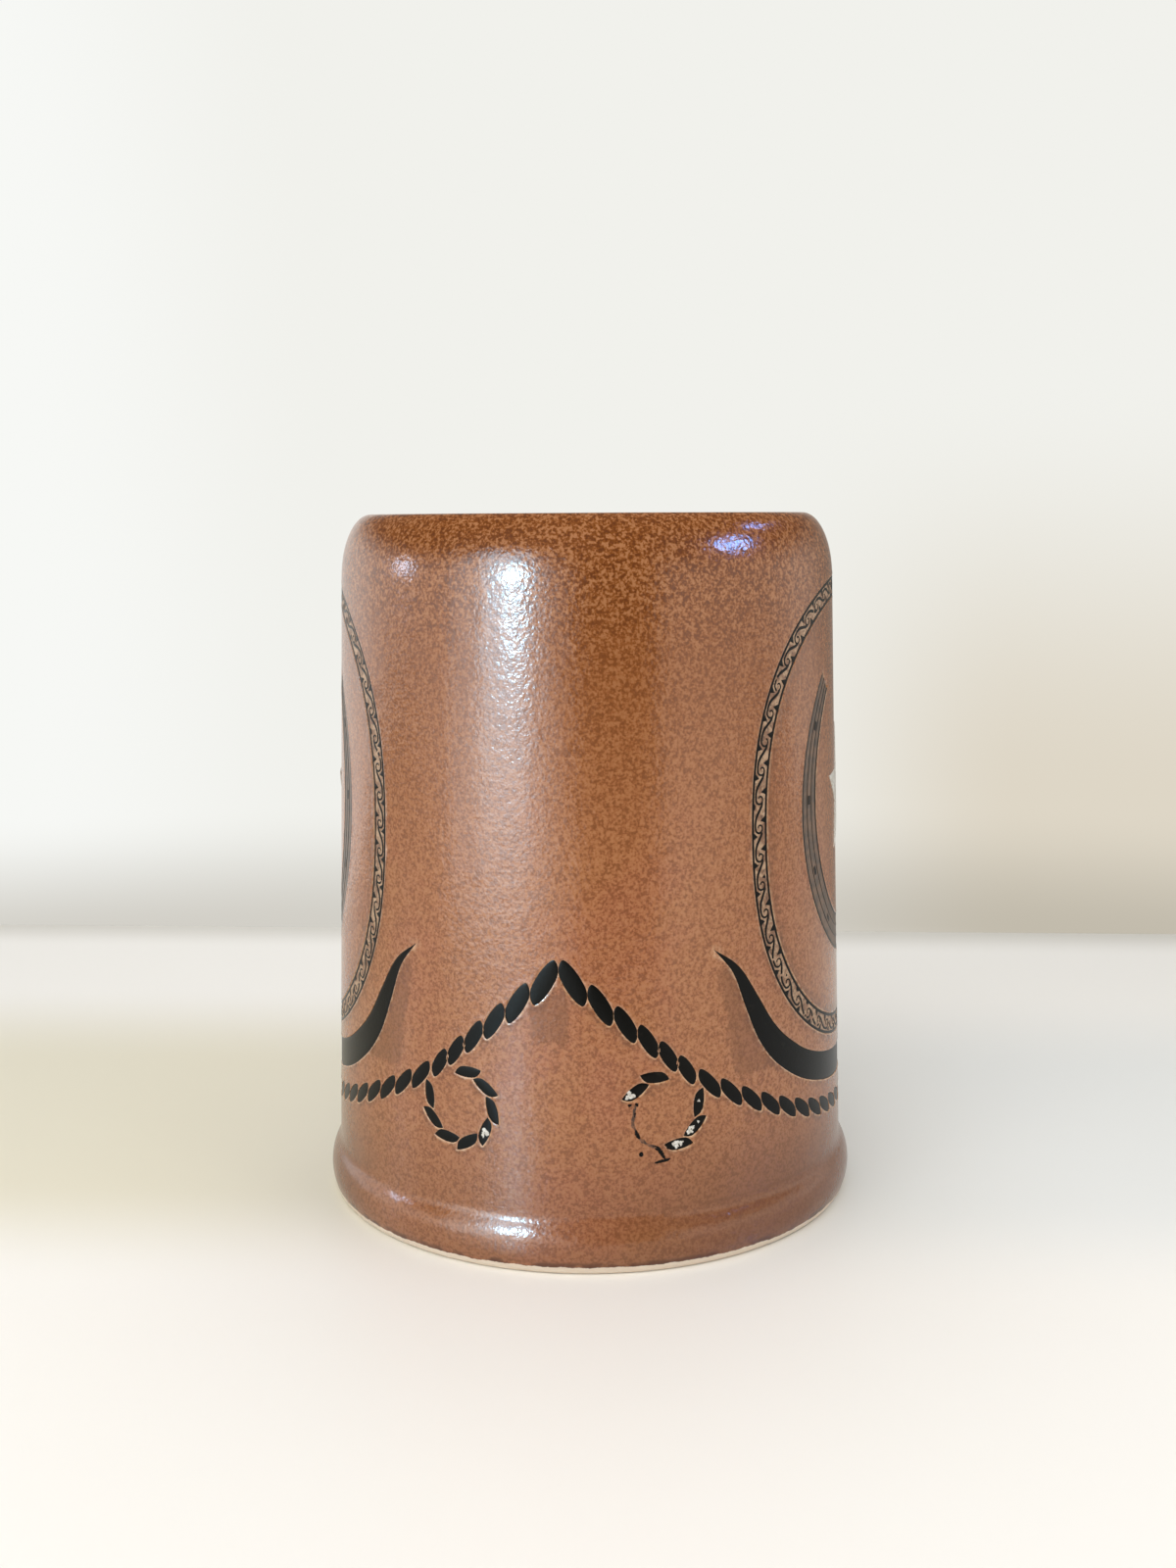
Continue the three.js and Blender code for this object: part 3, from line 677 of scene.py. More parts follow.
def chip(name, along_share, across_share, radius):
    strand, on_left = STRANDS[name]
    along, across = lay_of(strand)
    centre = strand["centre"] + along * along_share * strand["length"] / 2
    centre = centre + across * across_share * strand["width"] / 2
    turn = np.linspace(0, math.tau, CHIP_CORNERS, endpoint=False)
    reach = radius * (1 + 0.35 * np.sin(3 * turn + rng.random() * 6) + 0.25 * rng.normal(size=CHIP_CORNERS))
    reach = np.clip(reach, 0.3 * radius, 1.4 * radius)[:, None]
    outline = centre + np.c_[np.cos(turn), np.sin(turn)] * reach
    outline = outline * ([-1, 1] if on_left else [1, 1])
    middle = np.broadcast_to(outline.mean(axis=0), outline.shape)
    levels = [(0, INLAY_TOP + 0.03), (0, INLAY_TOP - 0.1), (0.9, INLAY_TOP - 0.1), (0.9, INLAY_TOP + 0.04)]
    return slab(outline, middle, levels, closed=True)


chips = add_mesh("bared_clay_chips", *joined([chip(*place) for place in CHIPS]))
settle(chips, bare_clay, "pale_band")
print("chips:", len(CHIPS))

# %% Lay in the horns
HORN_STEPS = 140


def both_sides(make):
    """Runs make for the right and the left half, each with what turns edges onto that half."""
    make("right", lambda edges: edges)
    make("left", flipped)


def lay_horn(word, side):
    upper, lower = side(horn_edges(INLAY_GROWTH, HORN_STEPS))
    lower = nibbled(lower, -across_of(upper, lower), 0.045, (12, 50))
    points, faces = slab(upper, lower, slab_section(INLAY_TOP, INLAY_DEPTH, 0.05, 0.05, 5))
    settle(add_mesh(f"horns_{word}", points, faces), black_slip, "black_slip", f"horn_inlay_{word}")


both_sides(lay_horn)

# %% [markdown]
# ## The band and its running scroll
#
# The band is a strip of paler ground with a black line along each edge. Between the lines runs the old
# wave scroll: a stroke slants from the inner line to the outer one, bends back and winds in on itself, and
# the next stroke starts at the top of its curl. Small black triangles fill the corners. All of it is drawn
# along the band's middle line, with one coordinate along the band and one across, so a single unit is drawn
# once and repeated.

# %% Set up coordinates along the band
BAND_STEPS = 240
BAND_TOP = -0.05
SCROLL_PITCH_WANTED = 4.95


def closed_up(ring):
    return np.vstack([ring, ring[:1]])


band_middle = oval(-BAND_WIDTH / 2, 1600)
band_loop = closed_up(band_middle)
band_outward = closed_up(-sideways(band_middle, closed=True))
band_run = run_along(band_loop)
SCROLL_UNITS = round(band_run[-1] / SCROLL_PITCH_WANTED)
SCROLL_PITCH = band_run[-1] / SCROLL_UNITS
print(f"band length {band_run[-1]:.1f} mm, {SCROLL_UNITS} scrolls of {SCROLL_PITCH:.2f} mm")


def on_band(along, across):
    """Layout points for distances along the band and across it; across is positive outwards."""
    place = np.mod(along, band_run[-1])
    centre, out = (np.column_stack([np.interp(place, band_run, axis) for axis in line.T])
                   for line in (band_loop, band_outward))
    return centre + out * np.asarray(across, float)[:, None]


# %% Draw one unit of the scroll
EDGE_LINE_WIDTH = 0.46
EDGE_LINE_INSET = 0.3
STROKE_START = [(-0.85, -0.72), (0.1, -0.6), (1.1, -0.02), (2.1, 0.64), (3.1, 0.94)]
CURL_CENTRE = np.array([4.1, -0.05])
CURL_START, CURL_END = math.radians(-75), math.radians(250)
CURL_OUTER, CURL_INNER = 0.98, 0.3
# place along the unit, base and tip across the band, and lean
CORNER_TRIANGLES = [(0.5, 1.45, 0.45, 0.12), (2.7, -1.45, -0.3, 0.15)]


def stroke(start):
    """One slanting stroke with its curl, and its half width."""
    turn = np.linspace(CURL_START, CURL_END, 16)
    reach = np.linspace(CURL_OUTER, CURL_INNER, 16) ** 0.9
    curl = CURL_CENTRE + np.c_[np.cos(turn), -np.sin(turn)] * reach[:, None]
    path, share = evenly(smooth_path(np.vstack([STROKE_START, curl]), 6, 0.5), 46)
    half = np.interp(share, [0, 0.12, 0.3, 0.55, 1], [0.1, 0.24, 0.27, 0.2, 0.13])
    return on_band(start + path[:, 0], path[:, 1]), half


def triangle(along, base, tip, lean):
    """A small triangle that stands on an edge line and points across the band."""
    share = np.linspace(0, 1, 6)
    across = base + (tip - base) * share
    return on_band(along + lean * share, across), 0.6 * (1 - share) + 0.03


def scroll_lines():
    """Every line of one band's scroll as (path, half width)."""
    lines = []
    for unit in range(SCROLL_UNITS):
        start = unit * SCROLL_PITCH
        lines.append(stroke(start))
        lines += [triangle(start + place, *form) for place, *form in CORNER_TRIANGLES]
    return lines


print("lines in a whole scroll:", len(scroll_lines()))


# %% Wear the scroll
WEAR_TOP = 62
WEAR_LOW = 28


def worn(place):
    """How worn the band is at a layout point: more and more towards its low end."""
    drop = np.clip((WEAR_TOP - place[1]) / (WEAR_TOP - WEAR_LOW), 0, 1)
    return 0.04 + 0.5 * drop ** 2


def surviving(path, half):
    """The stretches of a line that wear has left."""
    keep = rng.random(len(path)) > np.array([worn(place) for place in path]) * 0.3
    runs, start = [], None
    for i, kept in enumerate(np.r_[keep, False]):
        if kept and start is None:
            start = i
        elif not kept and start is not None:
            if i - start > 2:
                runs.append((path[start:i], half[start:i]))
            start = None
    return runs


LINE_SECTION = slab_section(0.0, 0.2, 0.25, 0.03, 0)


def lay_scroll(word, side):
    parts = [slab(*side(ribbon(path, half)), LINE_SECTION)
             for line in scroll_lines() for path, half in surviving(*line)]
    for offset in (-EDGE_LINE_INSET, EDGE_LINE_INSET - BAND_WIDTH):
        inner = oval(offset - EDGE_LINE_WIDTH / 2, BAND_STEPS)
        outer = oval(offset + EDGE_LINE_WIDTH / 2, BAND_STEPS)
        wobble = 0.05 * rng.random(BAND_STEPS)[:, None] * (outer - inner)
        parts.append(slab(*side((inner + wobble, outer - wobble[::-1])), LINE_SECTION, closed=True))
    settle(add_mesh(f"scroll_{word}", *joined(parts)), black_slip, "black_slip")


def lay_band(word, side):
    inner, outer = side((oval(-BAND_WIDTH + 0.04, BAND_STEPS), oval(-0.04, BAND_STEPS)))
    points, faces = slab(inner, outer, slab_section(BAND_TOP, INLAY_DEPTH, 0.04, 0.04, 3), closed=True)
    settle(add_mesh(f"band_{word}", points, faces), band_ground, "pale_band", f"medallion_band_{word}")


both_sides(lay_band)
both_sides(lay_scroll)

# %% [markdown]
# ## Inside the medallion
#
# The horseshoe is washed in thin, so the brown shows through it, and drawn over with black lines and
# nail holes. The star is thick white enamel that stands proud of the glaze.


# %% Draw the horseshoe
SHOE_STEPS = 80
NAIL_PLACES = (0.08, 0.18, 0.28, 0.38, 0.62, 0.72, 0.82, 0.92)


def lay_shoe(word, side):
    section = slab_section(BAND_TOP, INLAY_DEPTH, 0.03, 0.04, 5)
    shoe = add_mesh(f"horseshoe_{word}", *slab(*side(shoe_edges(-0.05, SHOE_STEPS)), section))
    settle(shoe, shoe_wash, "black_slip", f"horseshoe_inlay_{word}")


def line_along_shoe(share_across, width):
    """A black line that follows the shoe at a share of its half width from its middle."""
    spine, half = shoe_spine(SHOE_STEPS), shoe_half_width(SHOE_STEPS)
    return ribbon(spine + sideways(spine) * (half * share_across)[:, None], width / 2)


def nail_hole(share_along):
    spine = shoe_spine(SHOE_STEPS)
    at = int(share_along * SHOE_STEPS)
    along = spine[at + 1] - spine[at]
    along = along / np.linalg.norm(along)
    hole = spine[at] + np.linspace(-0.8, 0.8, 6)[:, None] * along
    return ribbon(hole, 0.42)


def lay_shoe_lines(word, side):
    lines = [line_along_shoe(0.93, 0.5), line_along_shoe(-0.93, 0.5)]
    lines += [line_along_shoe(0.3, 0.22), line_along_shoe(-0.3, 0.22)]
    lines += [nail_hole(share) for share in NAIL_PLACES]
    parts = [slab(*side(edges), LINE_SECTION) for edges in lines]
    settle(add_mesh(f"horseshoe_lines_{word}", *joined(parts)), black_slip, "black_slip")


both_sides(lay_shoe)
both_sides(lay_shoe_lines)
print("nail holes in each horseshoe:", len(NAIL_PLACES))

# %% Set the star
STAR_RADIUS = 12.5
STAR_WAIST = 5.4
STAR_SECTION = [(1, -0.1), (1, 0.1), (0.92, 0.2), (0.6, 0.24), (0.3, 0.24), (0.03, 0.24), (0.03, -0.1)]


def lay_star(word, side):
    turn = math.pi / 2 + np.arange(10) * math.pi / 5
    reach = np.where(np.arange(10) % 2 == 0, STAR_RADIUS, STAR_WAIST)
    corners = SHOE_CENTRE + np.c_[np.cos(turn), np.sin(turn)] * reach[:, None]
    ring = closed_up(corners)
    outline = np.vstack([np.linspace(a, b, 8, endpoint=False) for a, b in zip(ring, ring[1:])])
    middle = np.broadcast_to(SHOE_CENTRE, outline.shape)
    points, faces = slab(*side((middle, outline)), STAR_SECTION, closed=True)
    settle(add_mesh(f"star_{word}", points, faces), bare_clay, "pale_band")


both_sides(lay_star)
print(f"the star is {2 * STAR_RADIUS:.0f} mm across")

# %% [markdown]
# ## The clay body
#
# The wall is one skin of triangles that is fine only where the ornament needs it. In the flat layout the
# edge of every pocket is drawn twice, at the surface and at the pocket's floor, with looser rings of
# points outside it for the soft rim of the glaze. Blender's flat triangulation joins all these with a
# plain grid, and the result is wrapped round the mug and stitched to the foot, the lip and the inside.

# %% List the pockets
ZONE_LOW = 12.5
ZONE_TOP = 119.0
COLUMNS = 260
ROWS = 90
OUTER_RINGS = (0.14, 0.32, 0.6)
POCKET_WALL = 0.1
POCKET_LIP = -0.02
STRAND_OUTLINE_STEPS = 14
HORN_OUTLINE_STEPS = 110
SHOE_OUTLINE_STEPS = 90
BAND_OUTLINE_STEPS = 220


def outline_of(edges):
    """Two edges as one closed outline without doubled corners."""
    left, right = edges
    ring = np.vstack([left, right[::-1]])
    gap = np.linalg.norm(ring - np.roll(ring, 1, axis=0), axis=1)
    return ring[gap > 0.02]


def pocket_outlines():
    """A list of functions, each of which gives one outline grown by any amount."""
    shapes = [lambda grow, name=name: outline_of(strand_outline(name, grow, STRAND_OUTLINE_STEPS))
              for name in STRANDS if name not in WORN_STRANDS]
    for side in (lambda edges: edges, flipped):
        shapes.append(lambda grow, side=side: outline_of(side(horn_edges(grow, HORN_OUTLINE_STEPS))))
        shapes.append(lambda grow, side=side: outline_of(side(shoe_edges(grow, SHOE_OUTLINE_STEPS))))
        shapes.append(lambda grow, side=side: side((oval(grow, BAND_OUTLINE_STEPS),) * 2)[0])
        shapes.append(lambda grow, side=side: side((oval(-BAND_WIDTH - grow, BAND_OUTLINE_STEPS),) * 2)[0])
    return shapes


POCKETS = pocket_outlines()
print("outlines:", len(POCKETS))


# %% Measure distances from the outlines
def dense(ring, spacing):
    """Points along a closed outline, no further apart than spacing."""
    ahead = np.roll(ring, -1, axis=0)
    counts = np.maximum(1, np.ceil(np.linalg.norm(ahead - ring, axis=1) / spacing)).astype(int)
    return np.vstack([a + (b - a) * np.arange(n)[:, None] / n for a, b, n in zip(ring, ahead, counts)])


def outward_of(ring):
    """Directions out of a closed outline, whichever way it runs."""
    area = np.sum(ring[:, 0] * np.roll(ring[:, 1], -1) - np.roll(ring[:, 0], -1) * ring[:, 1])
    return -sideways(ring, closed=True) * np.sign(area)


edge_points, edge_out = [], []
for shape in POCKETS:
    ring = dense(shape(0), 0.15)
    edge_points.append(ring)
    edge_out.append(outward_of(ring))
edge_points, edge_out = np.vstack(edge_points), np.vstack(edge_out)
edge_tree = KDTree(len(edge_points))
for i, (along, height) in enumerate(edge_points):
    edge_tree.insert((along, height, 0), i)
edge_tree.balance()


def from_edges(points):
    """Distance to the nearest pocket edge, and that edge's outward direction."""
    found = [edge_tree.find((along, height, 0)) for along, height in points]
    return np.array([hit[2] for hit in found]), edge_out[[hit[1] for hit in found]]


print("points along the pocket edges:", len(edge_points))


# %% Tell pockets from wall
def inside(points, ring):
    """True for each point within a closed outline."""
    x, y = points[:, 0], points[:, 1]
    within = np.zeros(len(points), bool)
    for (ax, ay), (bx, by) in zip(ring, np.roll(ring, -1, axis=0)):
        crosses = (ay > y) != (by > y)
        if crosses.any():
            within ^= crosses & (x < ax + (bx - ax) * (y - ay) / (by - ay + 1e-12))
    return within


def in_pocket(points):
    """True where a point lies in a pocket. The bands have two outlines each, so an odd count decides."""
    count = np.zeros(len(points), int)
    for shape in POCKETS:
        ring = shape(0)
        low, high = ring.min(axis=0), ring.max(axis=0)
        near = np.all((points > low) & (points < high), axis=1)
        count[near] += inside(points[near], ring)
    return count % 2 == 1


print("the first pocket edge point's inner neighbour lies in a pocket:",
      bool(in_pocket(edge_points[:1] - 0.2 * edge_out[:1])[0]))


# %% Place the points of the wall
half_turn = WALL_RADIUS_LOW * math.pi
column_places = np.linspace(-half_turn, half_turn, COLUMNS + 1)
row_places = np.linspace(ZONE_LOW, ZONE_TOP, ROWS)


def thinned(points, spacing):
    """Drops points that lie too near one that is kept already."""
    cells, kept = set(), []
    for point in points:
        cell = (round(point[0] / spacing), round(point[1] / spacing))
        near = {(cell[0] + i, cell[1] + j) for i in (-1, 0, 1) for j in (-1, 0, 1)}
        if not near & cells:
            cells.add(cell)
            kept.append(point)
    return np.array(kept)


def soft_rim_points():
    points = []
    for grow in OUTER_RINGS:
        for shape in POCKETS:
            ring = shape(grow)
            gap, _ = from_edges(ring)
            points.append(ring[gap > 0.8 * grow])
    return thinned(np.vstack(points), 0.1)


def grid_points():
    grid = np.array([(along, height) for height in row_places[1:-1] for along in column_places[1:-1]])
    gap, _ = from_edges(grid)
    grid = grid[gap > 0.85]
    return grid[~in_pocket(grid)]


rim_points = soft_rim_points()
rim_points = rim_points[~in_pocket(rim_points)]
plain_points = grid_points()
border = np.vstack([
    np.c_[column_places, np.full(COLUMNS + 1, ZONE_LOW)],
    np.c_[column_places, np.full(COLUMNS + 1, ZONE_TOP)],
    np.c_[np.full(ROWS - 2, -half_turn), row_places[1:-1]],
    np.c_[np.full(ROWS - 2, half_turn), row_places[1:-1]],
])
print("rim points:", len(rim_points), "grid points:", len(plain_points))

# %% Triangulate the wall in the layout
flat_points = [rim_points, plain_points, border]
offset = sum(len(part) for part in flat_points)
lifts = [np.full(offset, np.nan)]
constraints = []
for shape in POCKETS:
    edge = shape(0)
    floor = shape(-POCKET_WALL)
    for ring, lift in ((edge, POCKET_LIP), (floor, -POCKET_DEPTH)):
        count = len(ring)
        constraints += [(offset + i, offset + (i + 1) % count) for i in range(count)]
        flat_points.append(ring)
        lifts.append(np.full(count, lift))
        offset += count
flat_points = np.vstack(flat_points)
lifts = np.concatenate(lifts)
result = delaunay_2d_cdt([Vector(point) for point in flat_points], constraints, [], 0, 1e-4)
wall_points = np.array([tuple(point) for point in result[0]])
wall_faces = [tuple(face) for face in result[2]]
print("wall triangles:", len(wall_faces), "points:", len(wall_points))

# %% [markdown]
# Outside an edge the glaze swells into a faint roll before it dips into the pocket, so each wall point
# is lifted by its distance from the nearest edge.


# %% Lift the rims and sink the pockets
ROLL_HEIGHT = 0.05
ROLL_FROM_EDGE = 0.28
ROLL_SPREAD = 0.2


def bell(gap, middle, spread):
    """1 where gap is middle, and fading to 0 on both sides."""
    return np.exp(-((gap - middle) / spread) ** 2)


source = [origin[0] if origin else -1 for origin in result[3]]
wall_lift = np.array([lifts[i] if i >= 0 else np.nan for i in source])
loose = np.isnan(wall_lift)
gap, _ = from_edges(wall_points[loose])
wall_lift[loose] = ROLL_HEIGHT * bell(gap, ROLL_FROM_EDGE, ROLL_SPREAD)
body_parts = [(wrapped(wall_points, wall_lift), wall_faces)]
print("lift from", round(float(wall_lift.min()), 2), "to", round(float(wall_lift.max()), 3), "mm")


# %% Turn the foot, the lip and the inside
def turned(section):
    """Rings of quads about the mug's axis."""
    angle = column_places / WALL_RADIUS_LOW
    points = np.array([(r * math.sin(a), AXIS_Y - r * math.cos(a), z) for r, z in section for a in angle])
    width = COLUMNS + 1
    faces = [(i * width + j, i * width + j + 1, (i + 1) * width + j + 1, (i + 1) * width + j)
             for i in range(len(section) - 1) for j in range(COLUMNS)]
    return points, faces


def steps_between(start, end, count):
    return np.linspace(start, end, count + 1)


def foot_section():
    ring_inner = FOOT_RADIUS - FOOT_RING_WIDTH
    recess_edge = ring_inner - FOOT_RING_SLOPE - RECESS_ROUND
    corner = arc((recess_edge, FOOT_RECESS - RECESS_ROUND), (RECESS_ROUND,) * 2, math.pi / 2, 0.6, 4)
    return np.vstack([
        steps_between((0, FOOT_RECESS), (recess_edge, FOOT_RECESS), 8),
        corner[1:],
        steps_between((ring_inner - 0.3, 0.45), (ring_inner + 0.5, 0), 3),
        steps_between((ring_inner + 1.2, 0), (FOOT_RADIUS - 0.7, 0), 3),
        steps_between((FOOT_RADIUS - 0.25, 0.08), (FOOT_RADIUS + 0.12, 0.35), 2),
        OUTSIDE[(OUTSIDE[:, 1] > 0.5) & (OUTSIDE[:, 1] < ZONE_LOW)],
        [(float(outside_radius(ZONE_LOW)), ZONE_LOW)],
    ])


def upper_section():
    lip_start = MUG_HEIGHT - LIP_INNER_ROUND_HEIGHT
    inner_top = WALL_RADIUS_HIGH - WALL_THICKNESS
    corner_height = CAVITY_FLOOR + INNER_CORNER_ROUND
    inner_low = float(outside_radius(corner_height)) - WALL_THICKNESS
    corner = arc((inner_low - INNER_CORNER_ROUND, corner_height), (INNER_CORNER_ROUND,) * 2,
                 0, -math.pi / 2, 14)
    lip_round = (LIP_INNER_ROUND, LIP_INNER_ROUND_HEIGHT)
    return np.vstack([
        [(float(outside_radius(ZONE_TOP)), ZONE_TOP)],
        OUTSIDE[OUTSIDE[:, 1] > ZONE_TOP],
        arc((CREST_RADIUS, lip_start), lip_round, math.pi / 2, math.pi, 8)[1:],
        steps_between((inner_top, lip_start - 2), corner[0], 40),
        corner[1:],
        steps_between(corner[-1], (0, CAVITY_FLOOR), 16)[1:],
    ])


print("section points at the foot:", len(foot_section()), "and above:", len(upper_section()))

# %% Join the body
body_parts += [turned(foot_section()), turned(upper_section())]
body = add_mesh("clay_body", *joined(body_parts), sharp_from=50)
settle(body, glaze, "brown_glaze", "cup_body")
print("body faces:", len(body.data.polygons))

# %% [markdown]
# The finish of the body changes near the ornament: the glaze breaks pale over the pocket rims and pools
# dark just outside their lower sides. On the lower sides the pale break also carries a painted highlight,
# and the dark pooling carries painted shade. Beside each horn and under the rope's apex the glaze ran thick
# in the firing and left a brown stain, and inside the medallions it is darker along the band. These places
# are stored on the mesh as numbers from 0 to 1, which the glaze reads later and breaks up with noise.


# %% Store where the glaze thins and pools, with painted highlight and shade on the lower sides
RIM_FROM_EDGE, RIM_SPREAD = 0.03, 0.13
POOL_SHADE_FROM_EDGE, POOL_SHADE_SPREAD = 0.4, 0.26


def store(piece, name, values):
    attribute = piece.data.attributes.new(name, "FLOAT", "POINT")
    attribute.data.foreach_set("value", np.asarray(values, np.float32))


corners = np.empty(len(body.data.vertices) * 3, np.float32)
body.data.vertices.foreach_get("co", corners)
corners = corners.reshape(-1, 3).astype(float) / MM
layout = np.c_[np.arctan2(corners[:, 0], AXIS_Y - corners[:, 1]) * WALL_RADIUS_LOW, corners[:, 2]]
reach = np.hypot(corners[:, 0], corners[:, 1] - AXIS_Y)
outer = reach > outside_radius(layout[:, 1]) - 1.2
near_zone = outer & (layout[:, 1] > ZONE_LOW - 1) & (layout[:, 1] < ZONE_TOP + 1)
gap = np.full(len(layout), 99.0)
facing = np.zeros((len(layout), 2))
gap[near_zone], facing[near_zone] = from_edges(layout[near_zone])
sunk = near_zone & (reach < outside_radius(layout[:, 1]) - 0.3)
# the lower sides get more: there the pale break carries a painted highlight and the dark pooling carries
# painted shade
low_side = np.clip(0.5 - 0.8 * facing[:, 1], 0, 1)
store(body, "rim", np.where(sunk, 1, bell(gap, RIM_FROM_EDGE, RIM_SPREAD) * (0.35 + 0.65 * low_side)))
store(body, "pool", bell(gap, POOL_SHADE_FROM_EDGE, POOL_SHADE_SPREAD) * low_side)
print("points beside pockets:", int((gap < 1).sum()))


# %% Mark where the glaze ran thick, and where it is darker inside the medallions
def ramp(values, low, high):
    """0 at low, 1 at high and even in between; low may be the larger one."""
    return np.clip((values - low) / (high - low), 0, 1)


def beside_horns(along, height):
    """Between a slanting line and the horn, on the side away from the medallion."""
    upper, lower = horn_edges(0, 60)
    half = ((upper + lower) / 2)[:31]
    half = half[np.argsort(half[:, 1])]
    horn_at = np.interp(height, half[:, 1], half[:, 0])
    edge = np.interp(height, [31, 36, 40, 44, 49, 53], [32.0, 30.8, 30.4, 29.6, 28.6, 28.3])
    patch = ramp(along, edge - 1.3, edge + 1.1) * (along < horn_at)
    return patch * ramp(height, 30, 33) * ramp(height, 54, 50)


def by_the_bands(along, height):
    """Along the inner side of a band, and a little on its outer side low down."""
    offset = np.abs(np.c_[along, height] - MEDALLION_CENTRE)
    reach = np.sum((offset / MEDALLION_HALF) ** MEDALLION_SQUARENESS, axis=1) ** (1 / MEDALLION_SQUARENESS)
    from_middle = np.linalg.norm(offset, axis=1)
    from_edge = from_middle * (1 - 1 / np.maximum(reach, 0.05))
    within = 0.62 * ramp(from_edge, -10, -5) * (from_edge < -BAND_WIDTH + 0.2)
    without = 0.5 * ramp(from_edge, 3.5, 0.5) * (from_edge > -0.2) * ramp(height, 66, 56)
    return np.maximum(within, without * (along < QUARTER_TURN))


def under_the_apex(along, height):
    """Left of the seam, below the rope's apex."""
    patch = ramp(along, -6.2, -3.8) * ramp(height, 49.5, 47.5) * ramp(height, 37, 42)
    trail = 0.42 * ramp(along, -3, -0.8) * ramp(height, 49, 47) * ramp(height, 31, 36)
    return np.maximum(patch, trail) * (along < 1.2)


folded = QUARTER_TURN - np.abs(QUARTER_TURN - np.abs(layout[:, 0]))
stain = np.maximum(beside_horns(folded, layout[:, 1]), by_the_bands(folded, layout[:, 1]))
stain = np.maximum(stain, under_the_apex(layout[:, 0], layout[:, 1]))
store(body, "stain", np.where(near_zone, stain, 0))
print("stained points:", int((stain[near_zone] > 0.5).sum()))

# %% [markdown]
# ## The handle
#
# The photograph hides the handle behind the mug, so it is the plain pulled strap that such mugs have.
# Its middle line runs from the upper root over a low crown and down to the lower root. The cut across it
# is a superellipse that swells towards the roots, where slip fills the corner between strap and wall.

# %% Name the sizes of the handle
strap_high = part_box("strap_handle")[1]
HANDLE_TOP_HEIGHT = MUG_HEIGHT - 27
HANDLE_LOW_HEIGHT = 45
HANDLE_CROWN = 5
STRAP_WIDTH = 19
STRAP_THICKNESS = 10
STRAP_SQUARENESS = 2.6
ROOT_WIDTH_GAIN = 4
ROOT_THICKNESS_GAIN = 3
ROOT_DEPTH = 4
STRAP_INSET = 0.35
STRAP_OUTSIDE = strap_high.y / MM - AXIS_Y - STRAP_INSET
STRAP_SHOULDER = [(0.2, 0.4), (0.62, 0.55)]
STRAP_DROP = [(0.96, 0.22), (0.98, 0.48), (0.72, 0.8), (0.28, 1.01)]
FILLET_FLARE = 3.0
FILLET_LENGTH = 6.0
FILLET_SKIN = 0.12
FILLET_SUNK = 1.5
print(f"the strap reaches {STRAP_OUTSIDE:.1f} mm from the axis")


# %% Bend the strap's middle line
def strap_spine(count):
    upper = float(outside_radius(HANDLE_TOP_HEIGHT))
    lower = float(outside_radius(HANDLE_LOW_HEIGHT))
    middle_out = STRAP_OUTSIDE - STRAP_THICKNESS / 2
    span = HANDLE_TOP_HEIGHT - HANDLE_LOW_HEIGHT
    points = [(upper - ROOT_DEPTH, HANDLE_TOP_HEIGHT)]
    points += [(upper + (middle_out - upper) * out, HANDLE_TOP_HEIGHT + rise * HANDLE_CROWN)
               for out, rise in STRAP_SHOULDER]
    points += [(lower + (middle_out - lower) * out, HANDLE_TOP_HEIGHT - drop * span)
               for out, drop in STRAP_DROP]
    points += [(lower - ROOT_DEPTH, HANDLE_LOW_HEIGHT)]
    return evenly(smooth_path(points, 40, 0.5), count)


def strap_ring(place, along, share, grow, sides=44):
    """One cut across the strap, in millimetres from the mug's axis."""
    swelling = (1 - share) ** 3 + share ** 5 / 2
    half_width = (STRAP_WIDTH + ROOT_WIDTH_GAIN * swelling) / 2 + grow
    half_thickness = (STRAP_THICKNESS + ROOT_THICKNESS_GAIN * swelling) / 2 + grow
    rounded = squared_circle(sides, STRAP_SQUARENESS)
    side, thick = rounded[:, 0] * half_width, rounded[:, 1] * half_thickness
    return np.c_[side, place[0] + thick * along[1], place[1] - thick * along[0]]


def tube(rings, capped=True):
    """Quads over rings of equal length, with closed ends."""
    sides = len(rings[0])
    points = np.vstack(rings) + [0, AXIS_Y, 0]
    starts = range(0, (len(rings) - 1) * sides, sides)
    faces = [(start + k, start + (k + 1) % sides, start + sides + (k + 1) % sides, start + sides + k)
             for start in starts for k in range(sides)]
    if capped:
        faces += [tuple(range(sides)), tuple((len(rings) - 1) * sides + k for k in range(sides))]
    return points, faces


spine, spine_share = strap_spine(110)
spine_along = np.gradient(spine, axis=0)
spine_along /= np.linalg.norm(spine_along, axis=1)[:, None]
spine_length = float(np.sum(np.linalg.norm(np.diff(spine, axis=0), axis=1)))
rings = [strap_ring(*cut, 0) for cut in zip(spine, spine_along, spine_share)]
handle = add_mesh("pulled_handle", *tube(rings), sharp_from=60)
settle(handle, glaze, "brown_glaze", "strap_handle")
print(f"the strap is {spine_length:.1f} mm long")


# %% Fill the corners at the roots with slip
def root_fillet(at_low_end):
    """Rings that leave the wall wide and close onto the strap in a hollow curve."""
    rings = []
    for turn in np.linspace(0, math.pi / 2, 12):
        grow = FILLET_FLARE * (1 - math.sin(turn)) + FILLET_SKIN
        out = FILLET_LENGTH * (1 - math.cos(turn))
        run = (ROOT_DEPTH + out) / spine_length
        share = 1 - run if at_low_end else run
        place = np.array([np.interp(share, spine_share, axis) for axis in spine.T])
        along = np.array([np.interp(share, spine_share, axis) for axis in spine_along.T])
        ring = strap_ring(place, along, share, grow)
        wall = np.sqrt(outside_radius(ring[:, 2]) ** 2 - ring[:, 0] ** 2)
        nearness = math.cos(turn) ** 2
        ring[:, 1] = ring[:, 1] * (1 - nearness) + (wall + 0.02 + out) * nearness
        rings.append(ring)
    sunk_ring = rings[0] - [0, FILLET_SUNK, 0]
    return tube([sunk_ring] + rings, capped=False)


